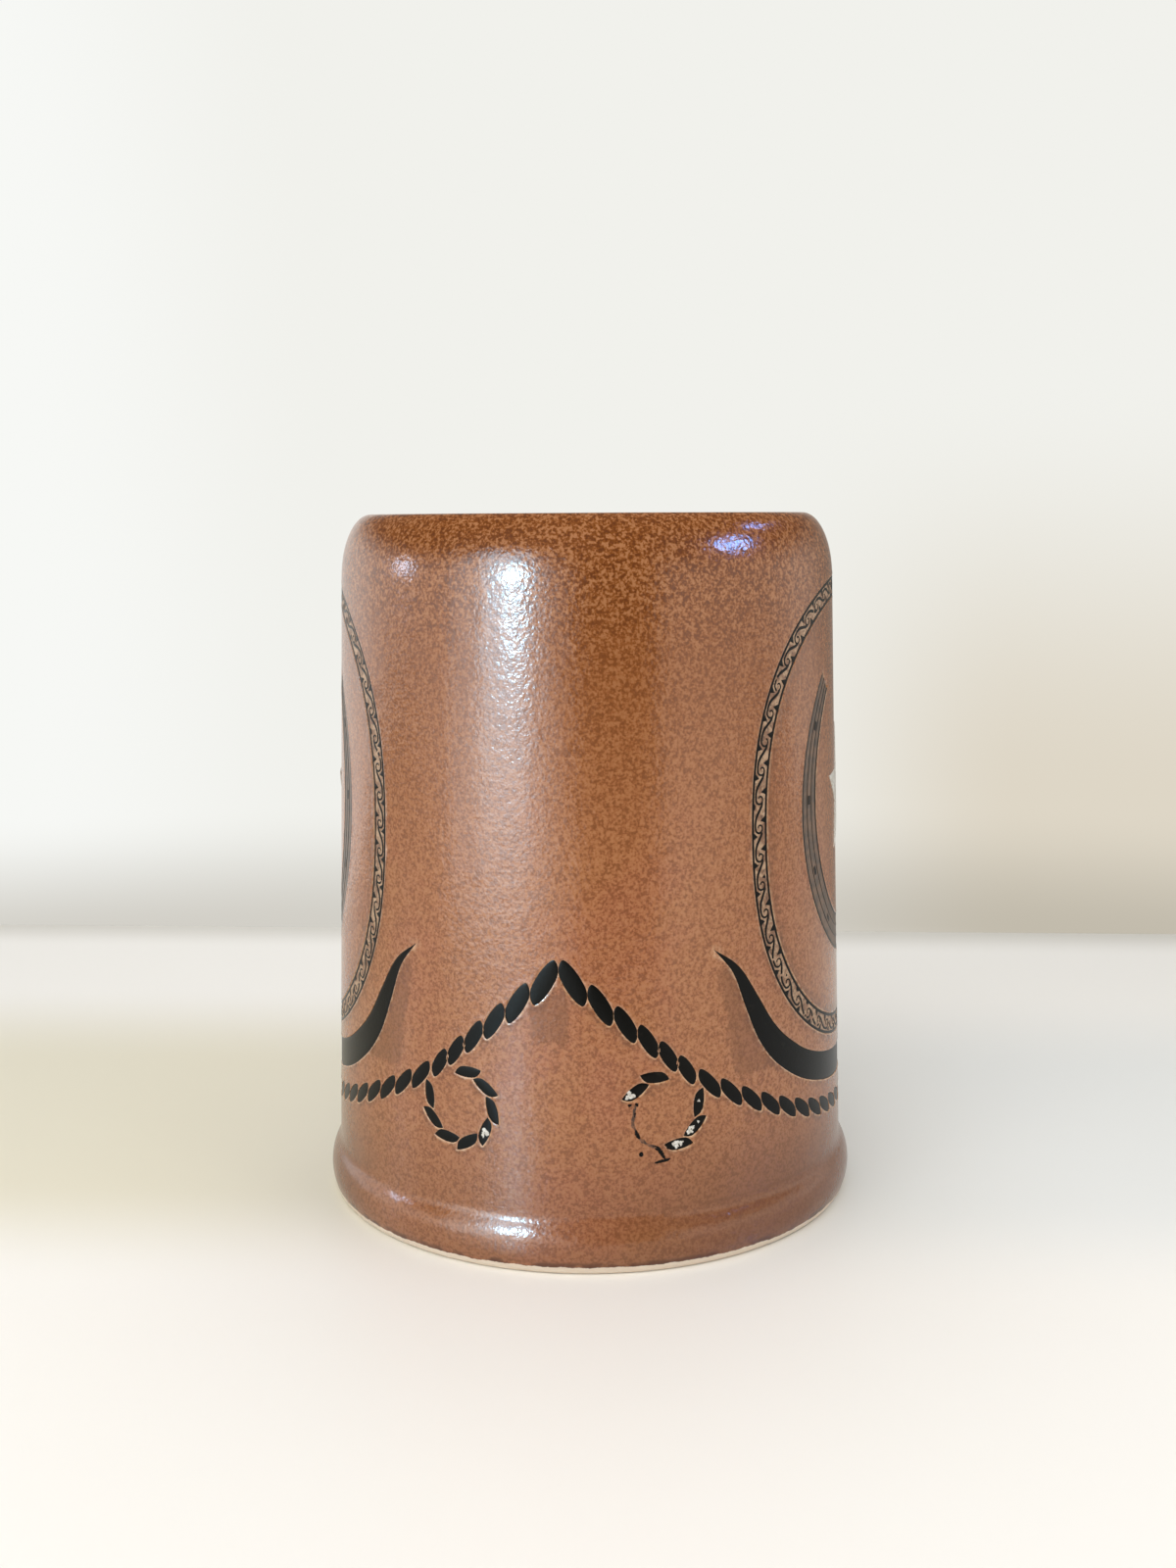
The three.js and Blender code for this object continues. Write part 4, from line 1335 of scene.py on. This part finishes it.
for word, at_low_end in (("upper", False), ("lower", True)):
    fillet = add_mesh(f"{word}_root_slip", *root_fillet(at_low_end), sharp_from=60)
    settle(fillet, glaze, "brown_glaze", f"{word}_slip_joint")
print("the slip runs", FILLET_LENGTH, "mm along the strap")

# %% [markdown]
# ## The glaze
#
# The glaze is a warm brown that mottles: small dark and light grains lie in clumps of about a millimetre.
# It is deeper in colour towards the rim, where the clumps crowd, and paler and pinker lower down. Near the
# foot painted shade darkens it again, most of all on the right and at the far left. Its skin has the orange
# peel of a fired glaze, in waves of half a millimetre to four millimetres, which breaks the highlights up.
# In the hollow above the bead it gathered in a broken dark line, and at the foot it stops in a wavy line
# above bare cream clay. Each of these is a layer of its own in one material, which noise breaks up, because
# no picture is wrapped on it.


# %% Write node trees in few words
class Nodes:
    """Makes the nodes of a tree, and links or sets what feeds them."""

    def __init__(self, tree, place):
        self.tree = tree
        self.place = self.make("ShaderNodeTexCoord").outputs[place]

    def make(self, kind, **settings):
        node = self.tree.nodes.new(kind)
        for key, value in settings.items():
            setattr(node, key, value)
        return node

    def feed(self, socket, value):
        if isinstance(value, bpy.types.NodeSocket):
            self.tree.links.new(value, socket)
        else:
            socket.default_value = value

    def fed(self, node, *values):
        """A node's first result, once its first inputs are fed in order."""
        for socket, value in zip(node.inputs, values):
            self.feed(socket, value)
        return node.outputs[0]

    def combine(self, operation, first, second=0.0):
        return self.fed(self.make("ShaderNodeMath", operation=operation), first, second)

    def times(self, first, second):
        return self.combine("MULTIPLY", first, second)

    def plus(self, first, second):
        return self.combine("ADD", first, second)

    def between(self, value, low, high):
        """0 below low, 1 above high, and a smooth rise in between."""
        return self.fed(self.make("ShaderNodeMapRange", interpolation_type="SMOOTHSTEP"), value, low, high)

    def blend(self, share, first, second):
        """A colour between two."""
        node = self.make("ShaderNodeMix", data_type="RGBA")
        self.feed(node.inputs["Factor"], share)
        self.feed(node.inputs["A"], first)
        self.feed(node.inputs["B"], second)
        return node.outputs["Result"]

    def coordinate(self, axis):
        node = self.make("ShaderNodeSeparateXYZ")
        self.feed(node.inputs[0], self.place)
        return node.outputs[axis]

    def across(self, axis, low, high):
        """A smooth rise between two places on an axis, given in millimetres."""
        return self.between(self.coordinate(axis), low * MM, high * MM)


print("what a tree can make:", [name for name in vars(Nodes) if not name.startswith("_")])


# %% Write materials in few words
class Finish(Nodes):
    """A material under construction."""

    def __init__(self, material):
        material.use_nodes = True
        super().__init__(material.node_tree, "Object")
        self.shader = self.tree.nodes["Principled BSDF"]

    def noise(self, size, detail=2.0, roughness=0.6):
        """Cloudy noise whose largest clouds are about size millimetres across."""
        node = self.make("ShaderNodeTexNoise")
        self.feed(node.inputs["Vector"], self.place)
        node.inputs["Scale"].default_value = 1 / (size * MM)
        node.inputs["Detail"].default_value = detail
        node.inputs["Roughness"].default_value = roughness
        return node.outputs["Fac"]

    def patches(self, size, low, high, detail=2.0):
        """Soft-edged patches of noise."""
        return self.between(self.noise(size, detail), low, high)

    def stored(self, name):
        return self.make("ShaderNodeAttribute", attribute_name=name).outputs["Fac"]

    def coat(self, base, roughness, relief=None, depth=0.0):
        """Sets colour and roughness, and raises a relief by a depth in millimetres."""
        self.feed(self.shader.inputs["Base Color"], base)
        self.feed(self.shader.inputs["Roughness"], roughness)
        if relief is not None:
            node = self.make("ShaderNodeBump")
            node.inputs["Strength"].default_value = 1.0
            node.inputs["Distance"].default_value = depth * MM
            self.feed(node.inputs["Height"], relief)
            self.feed(self.shader.inputs["Normal"], node.outputs["Normal"])


print("what a material adds:", [name for name in vars(Finish) if not name.startswith("_")])


# %% Mix the brown glaze
def colour(red, green, blue):
    """A colour given as it looks on a screen, 0 to 255, as the linear numbers that Blender mixes."""
    linear = [c / 12.92 if c <= 0.04045 else ((c + 0.055) / 1.055) ** 2.4
              for c in (red / 255, green / 255, blue / 255)]
    return (*linear, 1.0)


GLAZE_HIGH = colour(132, 72, 23)
GLAZE_LOW = colour(162, 103, 64)
GLAZE_TAN = colour(198, 142, 98)
GLAZE_GRAIN = colour(92, 48, 20)
GLAZE_RED = colour(162, 98, 68)
GLAZE_FOOT_SHADE = colour(104, 62, 36)
GLAZE_POOL_AND_SHADE = colour(84, 44, 22)
GLAZE_STAIN = colour(116, 70, 38)
GLAZE_BREAK_AND_HIGHLIGHT = colour(218, 178, 140)
CREAM_CLAY = colour(230, 210, 188)
HOLLOW_LINE_HEIGHT = 10.6
print("the glaze low down, as linear numbers:", [round(part, 3) for part in GLAZE_LOW[:3]])


# %% Write the layers of the glaze
def wall_colour(finish, grain):
    """Tan low down and deeper towards the rim, with light and dark grains that crowd at the shoulder."""
    base = finish.blend(finish.across("Z", 58, 126), GLAZE_LOW, GLAZE_HIGH)
    redness = finish.times(finish.patches(20, 0.45, 0.7), finish.across("Z", 100, 50))
    base = finish.blend(finish.times(redness, 0.6), base, GLAZE_RED)
    crowd = finish.plus(finish.times(finish.across("Z", 100, 118), 0.32), 0.46)
    light = finish.times(finish.between(grain, 0.53, 0.38), finish.times(crowd, 0.62))
    base = finish.blend(light, base, GLAZE_TAN)
    dark = finish.times(finish.between(grain, 0.47, 0.62), crowd)
    return finish.blend(dark, base, GLAZE_GRAIN)


def painted_foot_shade(finish, base):
    """Painted shade near the foot, most of all on the right and at the far left."""
    side = finish.combine("MAXIMUM", finish.across("X", -2, 40), finish.across("X", -32, -45))
    side = finish.plus(finish.times(side, 0.45), 0.3)
    return finish.blend(finish.times(finish.across("Z", 30, 6), side), base, GLAZE_FOOT_SHADE)


def thick_stains(finish, base):
    """Brown where the glaze ran thick, and darker inside the medallions along their bands, with an edge
    that noise breaks up.
    """
    mottling = finish.times(finish.combine("SUBTRACT", finish.noise(0.9, 3.0), 0.5), 1.6)
    stain = finish.between(finish.plus(finish.stored("stain"), mottling), 0.35, 0.75)
    return finish.blend(finish.times(stain, 0.55), base, GLAZE_STAIN)


def hollow_line(finish, base):
    """A broken dark line in the hollow above the bead, from the front round to the right."""
    off_line = finish.combine("SUBTRACT", finish.coordinate("Z"), HOLLOW_LINE_HEIGHT * MM)
    off_line = finish.combine("ABSOLUTE", off_line)
    off_line = finish.plus(off_line, finish.times(finish.noise(4.0, 3.0), 1.6 * MM))
    line = finish.times(finish.between(off_line, 1.2 * MM, 0.7 * MM), finish.across("X", -4, 20))
    return finish.blend(finish.times(line, 0.6), base, GLAZE_STAIN)


def pocket_rims(finish, base):
    """Dark pools with painted shade outside the lower rims of the pockets, and pale breaks on the rims
    themselves, with a painted highlight on the lower sides.
    """
    pool = finish.times(finish.stored("pool"), finish.patches(3.0, 0.35, 0.6, 3.0))
    base = finish.blend(finish.times(pool, 0.6), base, GLAZE_POOL_AND_SHADE)
    rim = finish.times(finish.stored("rim"), finish.patches(0.9, 0.3, 0.62))
    return finish.blend(rim, base, GLAZE_BREAK_AND_HIGHLIGHT)


# %% Lay the glaze over the clay
def make_glaze():
    finish = Finish(glaze)
    grain = finish.times(finish.plus(finish.noise(0.5), finish.noise(1.0, 3.0)), 0.5)
    base = wall_colour(finish, grain)
    for layer in (painted_foot_shade, thick_stains, hollow_line, pocket_rims):
        base = layer(finish, base)
    edge = finish.plus(finish.coordinate("Z"), finish.times(finish.noise(4, 4, 0.7), 1.2 * MM))
    gathered = finish.times(finish.between(edge, 3.4 * MM, 2.6 * MM), finish.patches(6, 0.4, 0.56))
    base = finish.blend(finish.times(gathered, 0.85), base, GLAZE_POOL_AND_SHADE)
    bare = finish.between(edge, 2.2 * MM, 2.1 * MM)
    base = finish.blend(bare, base, CREAM_CLAY)
    roughness = finish.plus(finish.plus(finish.times(grain, 0.1), 0.13), finish.times(bare, 0.5))
    peel = finish.plus(finish.noise(0.7, 1.0), finish.times(finish.noise(3.6, 1.0), 1.3))
    finish.coat(base, roughness, peel, 0.056)


make_glaze()
print("glaze nodes:", len(glaze.node_tree.nodes))


# %% Mix the black slip
def make_black_slip():
    finish = Finish(black_slip)
    worn_spots = finish.patches(1.4, 0.6, 0.8, 3.0)
    base = finish.blend(worn_spots, colour(12, 11, 8), colour(30, 27, 22))
    finish.coat(base, finish.plus(finish.times(worn_spots, 0.1), 0.28), finish.noise(0.5), 0.02)
    finish.shader.inputs["Specular IOR Level"].default_value = 0.12


make_black_slip()
print("black slip nodes:", len(black_slip.node_tree.nodes))


# %% Mix the ground of the bands, the wash and the bare clay
def make_band_ground():
    finish = Finish(band_ground)
    base = finish.blend(finish.patches(1.3, 0.38, 0.62, 3.0), colour(184, 150, 118), colour(132, 94, 66))
    base = finish.blend(finish.patches(0.5, 0.54, 0.72), base, colour(78, 54, 38))
    finish.coat(base, 0.42, finish.noise(0.7), 0.02)


def make_shoe_wash():
    finish = Finish(shoe_wash)
    base = finish.blend(finish.patches(1.8, 0.35, 0.65, 3.0), colour(112, 84, 62), colour(78, 62, 48))
    finish.coat(base, 0.4, finish.noise(0.7), 0.02)


def make_bare_clay():
    finish = Finish(bare_clay)
    base = finish.blend(finish.patches(0.4, 0.35, 0.7), colour(226, 222, 212), colour(178, 168, 152))
    finish.coat(base, 0.5, finish.noise(0.4), 0.02)


def make_thin_slip():
    finish = Finish(thin_slip)
    finish.coat(finish.blend(finish.patches(0.6, 0.4, 0.6), colour(120, 78, 50), colour(66, 42, 26)), 0.4)


for make_finish in (make_band_ground, make_shoe_wash, make_bare_clay, make_thin_slip):
    make_finish()
print("finishes mixed:", [material.name for material in bpy.data.materials])

# %% [markdown]
# ## The table
#
# The mug stands on a white table whose far edge is not far behind it. Its near edge lies below the picture,
# where the glaze stops mirroring it. The table is a real slab with a rounded edge, so it takes the mug's
# shadow and can be looked at from any side. Painted shade makes its white greyer beside the mug and darker
# towards the far edge.

# %% Set the table
TABLE_BACK = 0.1745
TABLE_TURN = math.radians(3)
TABLE_FRONT = -0.25
TABLE_HALF_WIDTH = 1.4
TABLE_THICKNESS = 0.03
TABLE_EDGE_ROUND = 0.002
TABLE_WHITE = colour(249, 245, 238)
TABLE_FAR_SHADE = colour(216, 211, 201)
TABLE_SHADE_LEFT = colour(230, 223, 201)
TABLE_SHADE_RIGHT = colour(236, 236, 232)


def make_table():
    edge = arc((TABLE_BACK - TABLE_EDGE_ROUND, -TABLE_EDGE_ROUND), (TABLE_EDGE_ROUND,) * 2,
               math.pi / 2, 0, 12)
    profile = np.vstack([[(TABLE_FRONT, 0), (0, 0)], edge,
                         [(TABLE_BACK, -TABLE_THICKNESS), (TABLE_FRONT, -TABLE_THICKNESS)]])
    sides = (-TABLE_HALF_WIDTH, TABLE_HALF_WIDTH)
    points = np.array([(x, y, z) for x in sides for y, z in profile]) / MM
    count = len(profile)
    faces = [(i, (i + 1) % count, count + (i + 1) % count, count + i) for i in range(count)]
    faces += [tuple(range(count)), tuple(range(count, 2 * count))]
    table = add_mesh("table", points, faces, sharp_from=30)
    paint = bpy.data.materials.new("white_table")
    finish = Finish(paint)
    # painted shade: the white is greyer beside the mug, yellower on the left of it, and darker towards the
    # far edge
    beside = finish.times(finish.across("Y", 105, 40), finish.across("Y", -75, -30))
    tint = finish.blend(finish.across("X", -100, 100), TABLE_SHADE_LEFT, TABLE_SHADE_RIGHT)
    base = finish.blend(beside, TABLE_WHITE, tint)
    finish.coat(finish.blend(finish.across("Y", 147, 176), base, TABLE_FAR_SHADE), 0.38)
    table.data.materials.append(paint)
    table.rotation_euler.z = TABLE_TURN
    return table


print("table:", [round(side, 3) for side in make_table().dimensions], "m")

# %% [markdown]
# ## The room
#
# The room is the world, and it does three jobs. The camera sees a pale wall with painted shade: it darkens
# towards the table, and it is warmer and darker on its right. It catches a little of the table's light at
# the very bottom. Glossy surfaces see a pale room, but with one dark stripe at the camera and a dim
# ceiling, so the middle of the mug and its lip stay deep in colour while its sides pick up a haze.
# Everything else gets one dim, even white.

# %% Name the colours of the room
WALL_HIGH = colour(241, 241, 236)
WALL_LEFT = colour(247, 248, 245)
WALL_LOW_SHADE = colour(210, 207, 199)
WALL_WARM_SHADE = colour(222, 214, 198)
WALL_WARM_LOW_SHADE = colour(194, 187, 172)
WALL_EDGE = colour(213, 209, 201)
WALL_WARM_EDGE = colour(208, 202, 190)
AMBIENT_COLOUR = (0.98, 1.0, 1.0, 1.0)
AMBIENT_STRENGTH = 0.46
LEFT_GLOW = (1.9, 1.9, 1.85, 1.0)
RIGHT_GLOW = (1.35, 1.32, 1.24, 1.0)
BACK_LEFT_GLOW = (0.95, 0.94, 0.9, 1.0)
BACK_RIGHT_GLOW = (0.3, 0.29, 0.26, 1.0)
CEILING_GLOW = (0.14, 0.14, 0.13, 1.0)
DARK_STRIPE = (0.06, 0.06, 0.06, 1.0)
CAMERA_TURN = math.radians(6.2)
STRIPE_TURN = CAMERA_TURN + math.radians(12.5)
STRIPE_DIRECTION = (math.sin(STRIPE_TURN), -math.cos(STRIPE_TURN), 0)
STRIPE_SHADE_START, STRIPE_SHADE_FULL = 0.92, 0.968
print("the dark stripe lies towards", [round(part, 2) for part in STRIPE_DIRECTION])


# %% Paint the wall that the camera sees
def wall_seen(room):
    """The wall's colour by direction: to_right and rise are the view ray's parts to the right and up."""
    to_right, rise = room.coordinate("X"), room.coordinate("Z")
    right_hand = room.between(to_right, -0.03, 0.15)
    wall = room.blend(room.between(to_right, -0.25, -0.42), WALL_HIGH, WALL_LEFT)
    # painted shade: the wall is warmer and darker on its right, and darker towards the table
    wall = room.blend(room.times(right_hand, room.between(rise, 0.08, -0.16)), wall, WALL_WARM_SHADE)
    low = room.blend(right_hand, WALL_LOW_SHADE, WALL_WARM_LOW_SHADE)
    wall = room.blend(room.between(rise, -0.165, -0.236), wall, low)
    edge = room.blend(right_hand, WALL_EDGE, WALL_WARM_EDGE)
    return room.blend(room.between(rise, -0.236, -0.25), wall, edge)


# %% Paint the room that the gloss mirrors
def room_mirrored(room):
    """A pale room with a dim ceiling, and with a dark stripe in the stripe's direction."""
    to_right, away, rise = room.coordinate("X"), room.coordinate("Y"), room.coordinate("Z")
    around = room.blend(room.between(to_right, -0.3, 0.3), LEFT_GLOW, RIGHT_GLOW)
    behind = room.blend(room.between(to_right, -0.3, 0.3), BACK_LEFT_GLOW, BACK_RIGHT_GLOW)
    around = room.blend(room.between(away, 0.4, 0.92), around, behind)
    around = room.blend(room.between(rise, 0.1, 0.42), around, CEILING_GLOW)
    level = room.fed(room.make("ShaderNodeCombineXYZ"), to_right, away)
    level = room.fed(room.make("ShaderNodeVectorMath", operation="NORMALIZE"), level)
    facing = room.make("ShaderNodeVectorMath", operation="DOT_PRODUCT")
    room.fed(facing, level, STRIPE_DIRECTION)
    stripe = room.between(facing.outputs["Value"], STRIPE_SHADE_START, STRIPE_SHADE_FULL)
    return room.blend(stripe, around, DARK_STRIPE)


# %% Put the room together
def make_room():
    world = bpy.data.worlds.new("room")
    bpy.context.scene.world = world
    world.use_nodes = True
    room = Nodes(world.node_tree, "Generated")
    seen = room.fed(room.tree.nodes["Background"], wall_seen(room), 1.0)
    mirrored = room.fed(room.make("ShaderNodeBackground"), room_mirrored(room), 1.0)
    ambient = room.fed(room.make("ShaderNodeBackground"), AMBIENT_COLOUR, AMBIENT_STRENGTH)
    ray = room.make("ShaderNodeLightPath").outputs
    shiny = room.fed(room.make("ShaderNodeMixShader"), ray["Is Glossy Ray"], ambient, mirrored)
    shown = room.fed(room.make("ShaderNodeMixShader"), ray["Is Camera Ray"], shiny, seen)
    room.feed(room.tree.nodes["World Output"].inputs["Surface"], shown)
    print("room nodes:", len(room.tree.nodes))


make_room()

# %% [markdown]
# ## Light
#
# Daylight comes from a tall window to the front left, which leaves a long highlight down the wall with a
# clean right edge. Its middle shows open sky that is brighter and bluer the higher it is, and a bright bit
# of it leaves a white spot. A far window at the left and blue sky at the right leave more spots on the
# shoulder. Such reflections are what a photographer sets with cards, and so they are here: these lamps show
# in the gloss alone. Five soft lamps, which the gloss doesn't show, model the form.

# %% Place a lamp round the mug
def from_mug(azimuth, elevation, distance):
    """A point round the mug in metres; azimuth 0 is towards the camera, and positive to its right."""
    turn = math.radians(azimuth) + CAMERA_TURN
    rise = math.radians(elevation)
    flat = distance * math.cos(rise)
    return Vector((flat * math.sin(turn), AXIS_Y * MM - flat * math.cos(turn), distance * math.sin(rise)))


def add_lamp(name, place, target, size, brightness, tint, gloss_only=True):
    """A rectangular lamp that looks brightness times as bright as white."""
    lamp = bpy.data.lights.new(name, "AREA")
    lamp.shape = "RECTANGLE"
    lamp.size, lamp.size_y = size
    lamp.energy = brightness * math.pi * size[0] * size[1]
    lamp.color = tint
    holder = bpy.data.objects.new(name, lamp)
    bpy.context.scene.collection.objects.link(holder)
    holder.location = place
    holder.rotation_mode = "QUATERNION"
    holder.rotation_quaternion = (target - place).to_track_quat("-Z", "Y")
    holder.visible_diffuse = not gloss_only
    holder.visible_glossy = gloss_only


print("the camera's side is towards", [round(part, 2) for part in from_mug(0, 0, 1)])

# %% List the lamps and hang them
SHOULDER = Vector((0, AXIS_Y * MM, 0.1))
LOW_SKY = (0.64, 0.88, 1.0)
HIGH_SKY = (0.42, 0.74, 1.0)
# name, azimuth, elevation, distance from the axis, height of its middle, width and height, brightness, tint
GLOSS_LAMPS = [
    ("tall_window", -38.5, 0, 0.332, 0.13, (0.26, 0.26), 2.2, LOW_SKY),
    ("open_pane", -35.5, 0, 0.327, 0.13, (0.12, 0.26), 1.5, LOW_SKY),
    ("horizon", -35.5, 0, 0.324, 0.1475, (0.12, 0.225), 2.2, LOW_SKY),
    ("clear_sky", -35, 0, 0.321, 0.16, (0.12, 0.2), 1.9, HIGH_SKY),
    ("zenith_side", -33.5, 0, 0.318, 0.178, (0.09, 0.165), 2.6, HIGH_SKY),
    ("bright_sky", -31.5, 6, 0.5, 0.115, (0.055, 0.09), 110, (0.38, 0.74, 1.0)),
    ("far_window", -89, 8, 0.6, 0.115, (0.06, 0.06), 26, (0.62, 0.76, 1.0)),
    ("blue_sky", 73, 26, 0.6, 0.115, (0.15, 0.055), 55, (0.16, 0.4, 1.0)),
    ("blue_gap", 106, 38, 0.6, 0.115, (0.09, 0.035), 34, (0.2, 0.4, 1.0)),
]
# name, azimuth, elevation, distance from the axis, side of its square, brightness
SOFT_LAMPS = [
    ("soft_front", -20, 45, 1.2, 0.9, 2.35),
    ("soft_top", 0, 89, 1.1, 0.9, 0.6),
    ("soft_back", 180, 60, 0.58, 0.4, 1.5),
    ("soft_right", 48, 40, 0.42, 0.2, 2.1),
    ("soft_left", -55, 40, 0.42, 0.2, 1.5),
]
for name, azimuth, elevation, distance, middle, size, brightness, tint in GLOSS_LAMPS:
    place = from_mug(azimuth, elevation, distance) + Vector((0, 0, middle))
    add_lamp(name, place, Vector((0, AXIS_Y * MM, middle)), size, brightness, tint)
for name, azimuth, elevation, distance, side, brightness in SOFT_LAMPS:
    place = from_mug(azimuth, elevation, distance)
    add_lamp(name, place, SHOULDER, (side, side), brightness, (1, 1, 1), gloss_only=False)
print("lamps:", [lamp.name for lamp in bpy.data.lights])

# %% [markdown]
# ## The camera
#
# The camera stands a little to the right of the seam, 31 cm from the mug's axis and level with the rim,
# and looks down by nine degrees. Its lens is given for a picture 1200 pixels wide.

# %% Set up the camera
CAMERA_DISTANCE = 0.3137
CAMERA_HEIGHT = 0.126
CAMERA_PITCH = 0.1578
CAMERA_ROLL = -0.0055
FOCAL_PIXELS = 1700
PICTURE_WIDTH = 1200


def make_camera():
    lens = bpy.data.cameras.new("camera")
    lens.sensor_fit = "HORIZONTAL"
    lens.sensor_width = 36
    lens.lens = 36 * FOCAL_PIXELS / PICTURE_WIDTH
    lens.clip_start = 0.01
    camera = bpy.data.objects.new("camera", lens)
    bpy.context.scene.collection.objects.link(camera)
    place = from_mug(0, 0, CAMERA_DISTANCE) + Vector((0, 0, CAMERA_HEIGHT))
    turn = Matrix.Rotation(CAMERA_TURN, 4, "Z")
    pitch = Matrix.Rotation(math.pi / 2 - CAMERA_PITCH, 4, "X")
    roll = Matrix.Rotation(CAMERA_ROLL, 4, "Z")
    camera.matrix_world = Matrix.Translation(place) @ turn @ pitch @ roll
    bpy.context.scene.camera = camera


make_camera()
bpy.context.scene.view_settings.view_transform = "Standard"
print("lens in mm:", round(bpy.context.scene.camera.data.lens, 1))

# %% [markdown]
# ## The size
#
# The dressed mug has to stay inside the packed model's box.
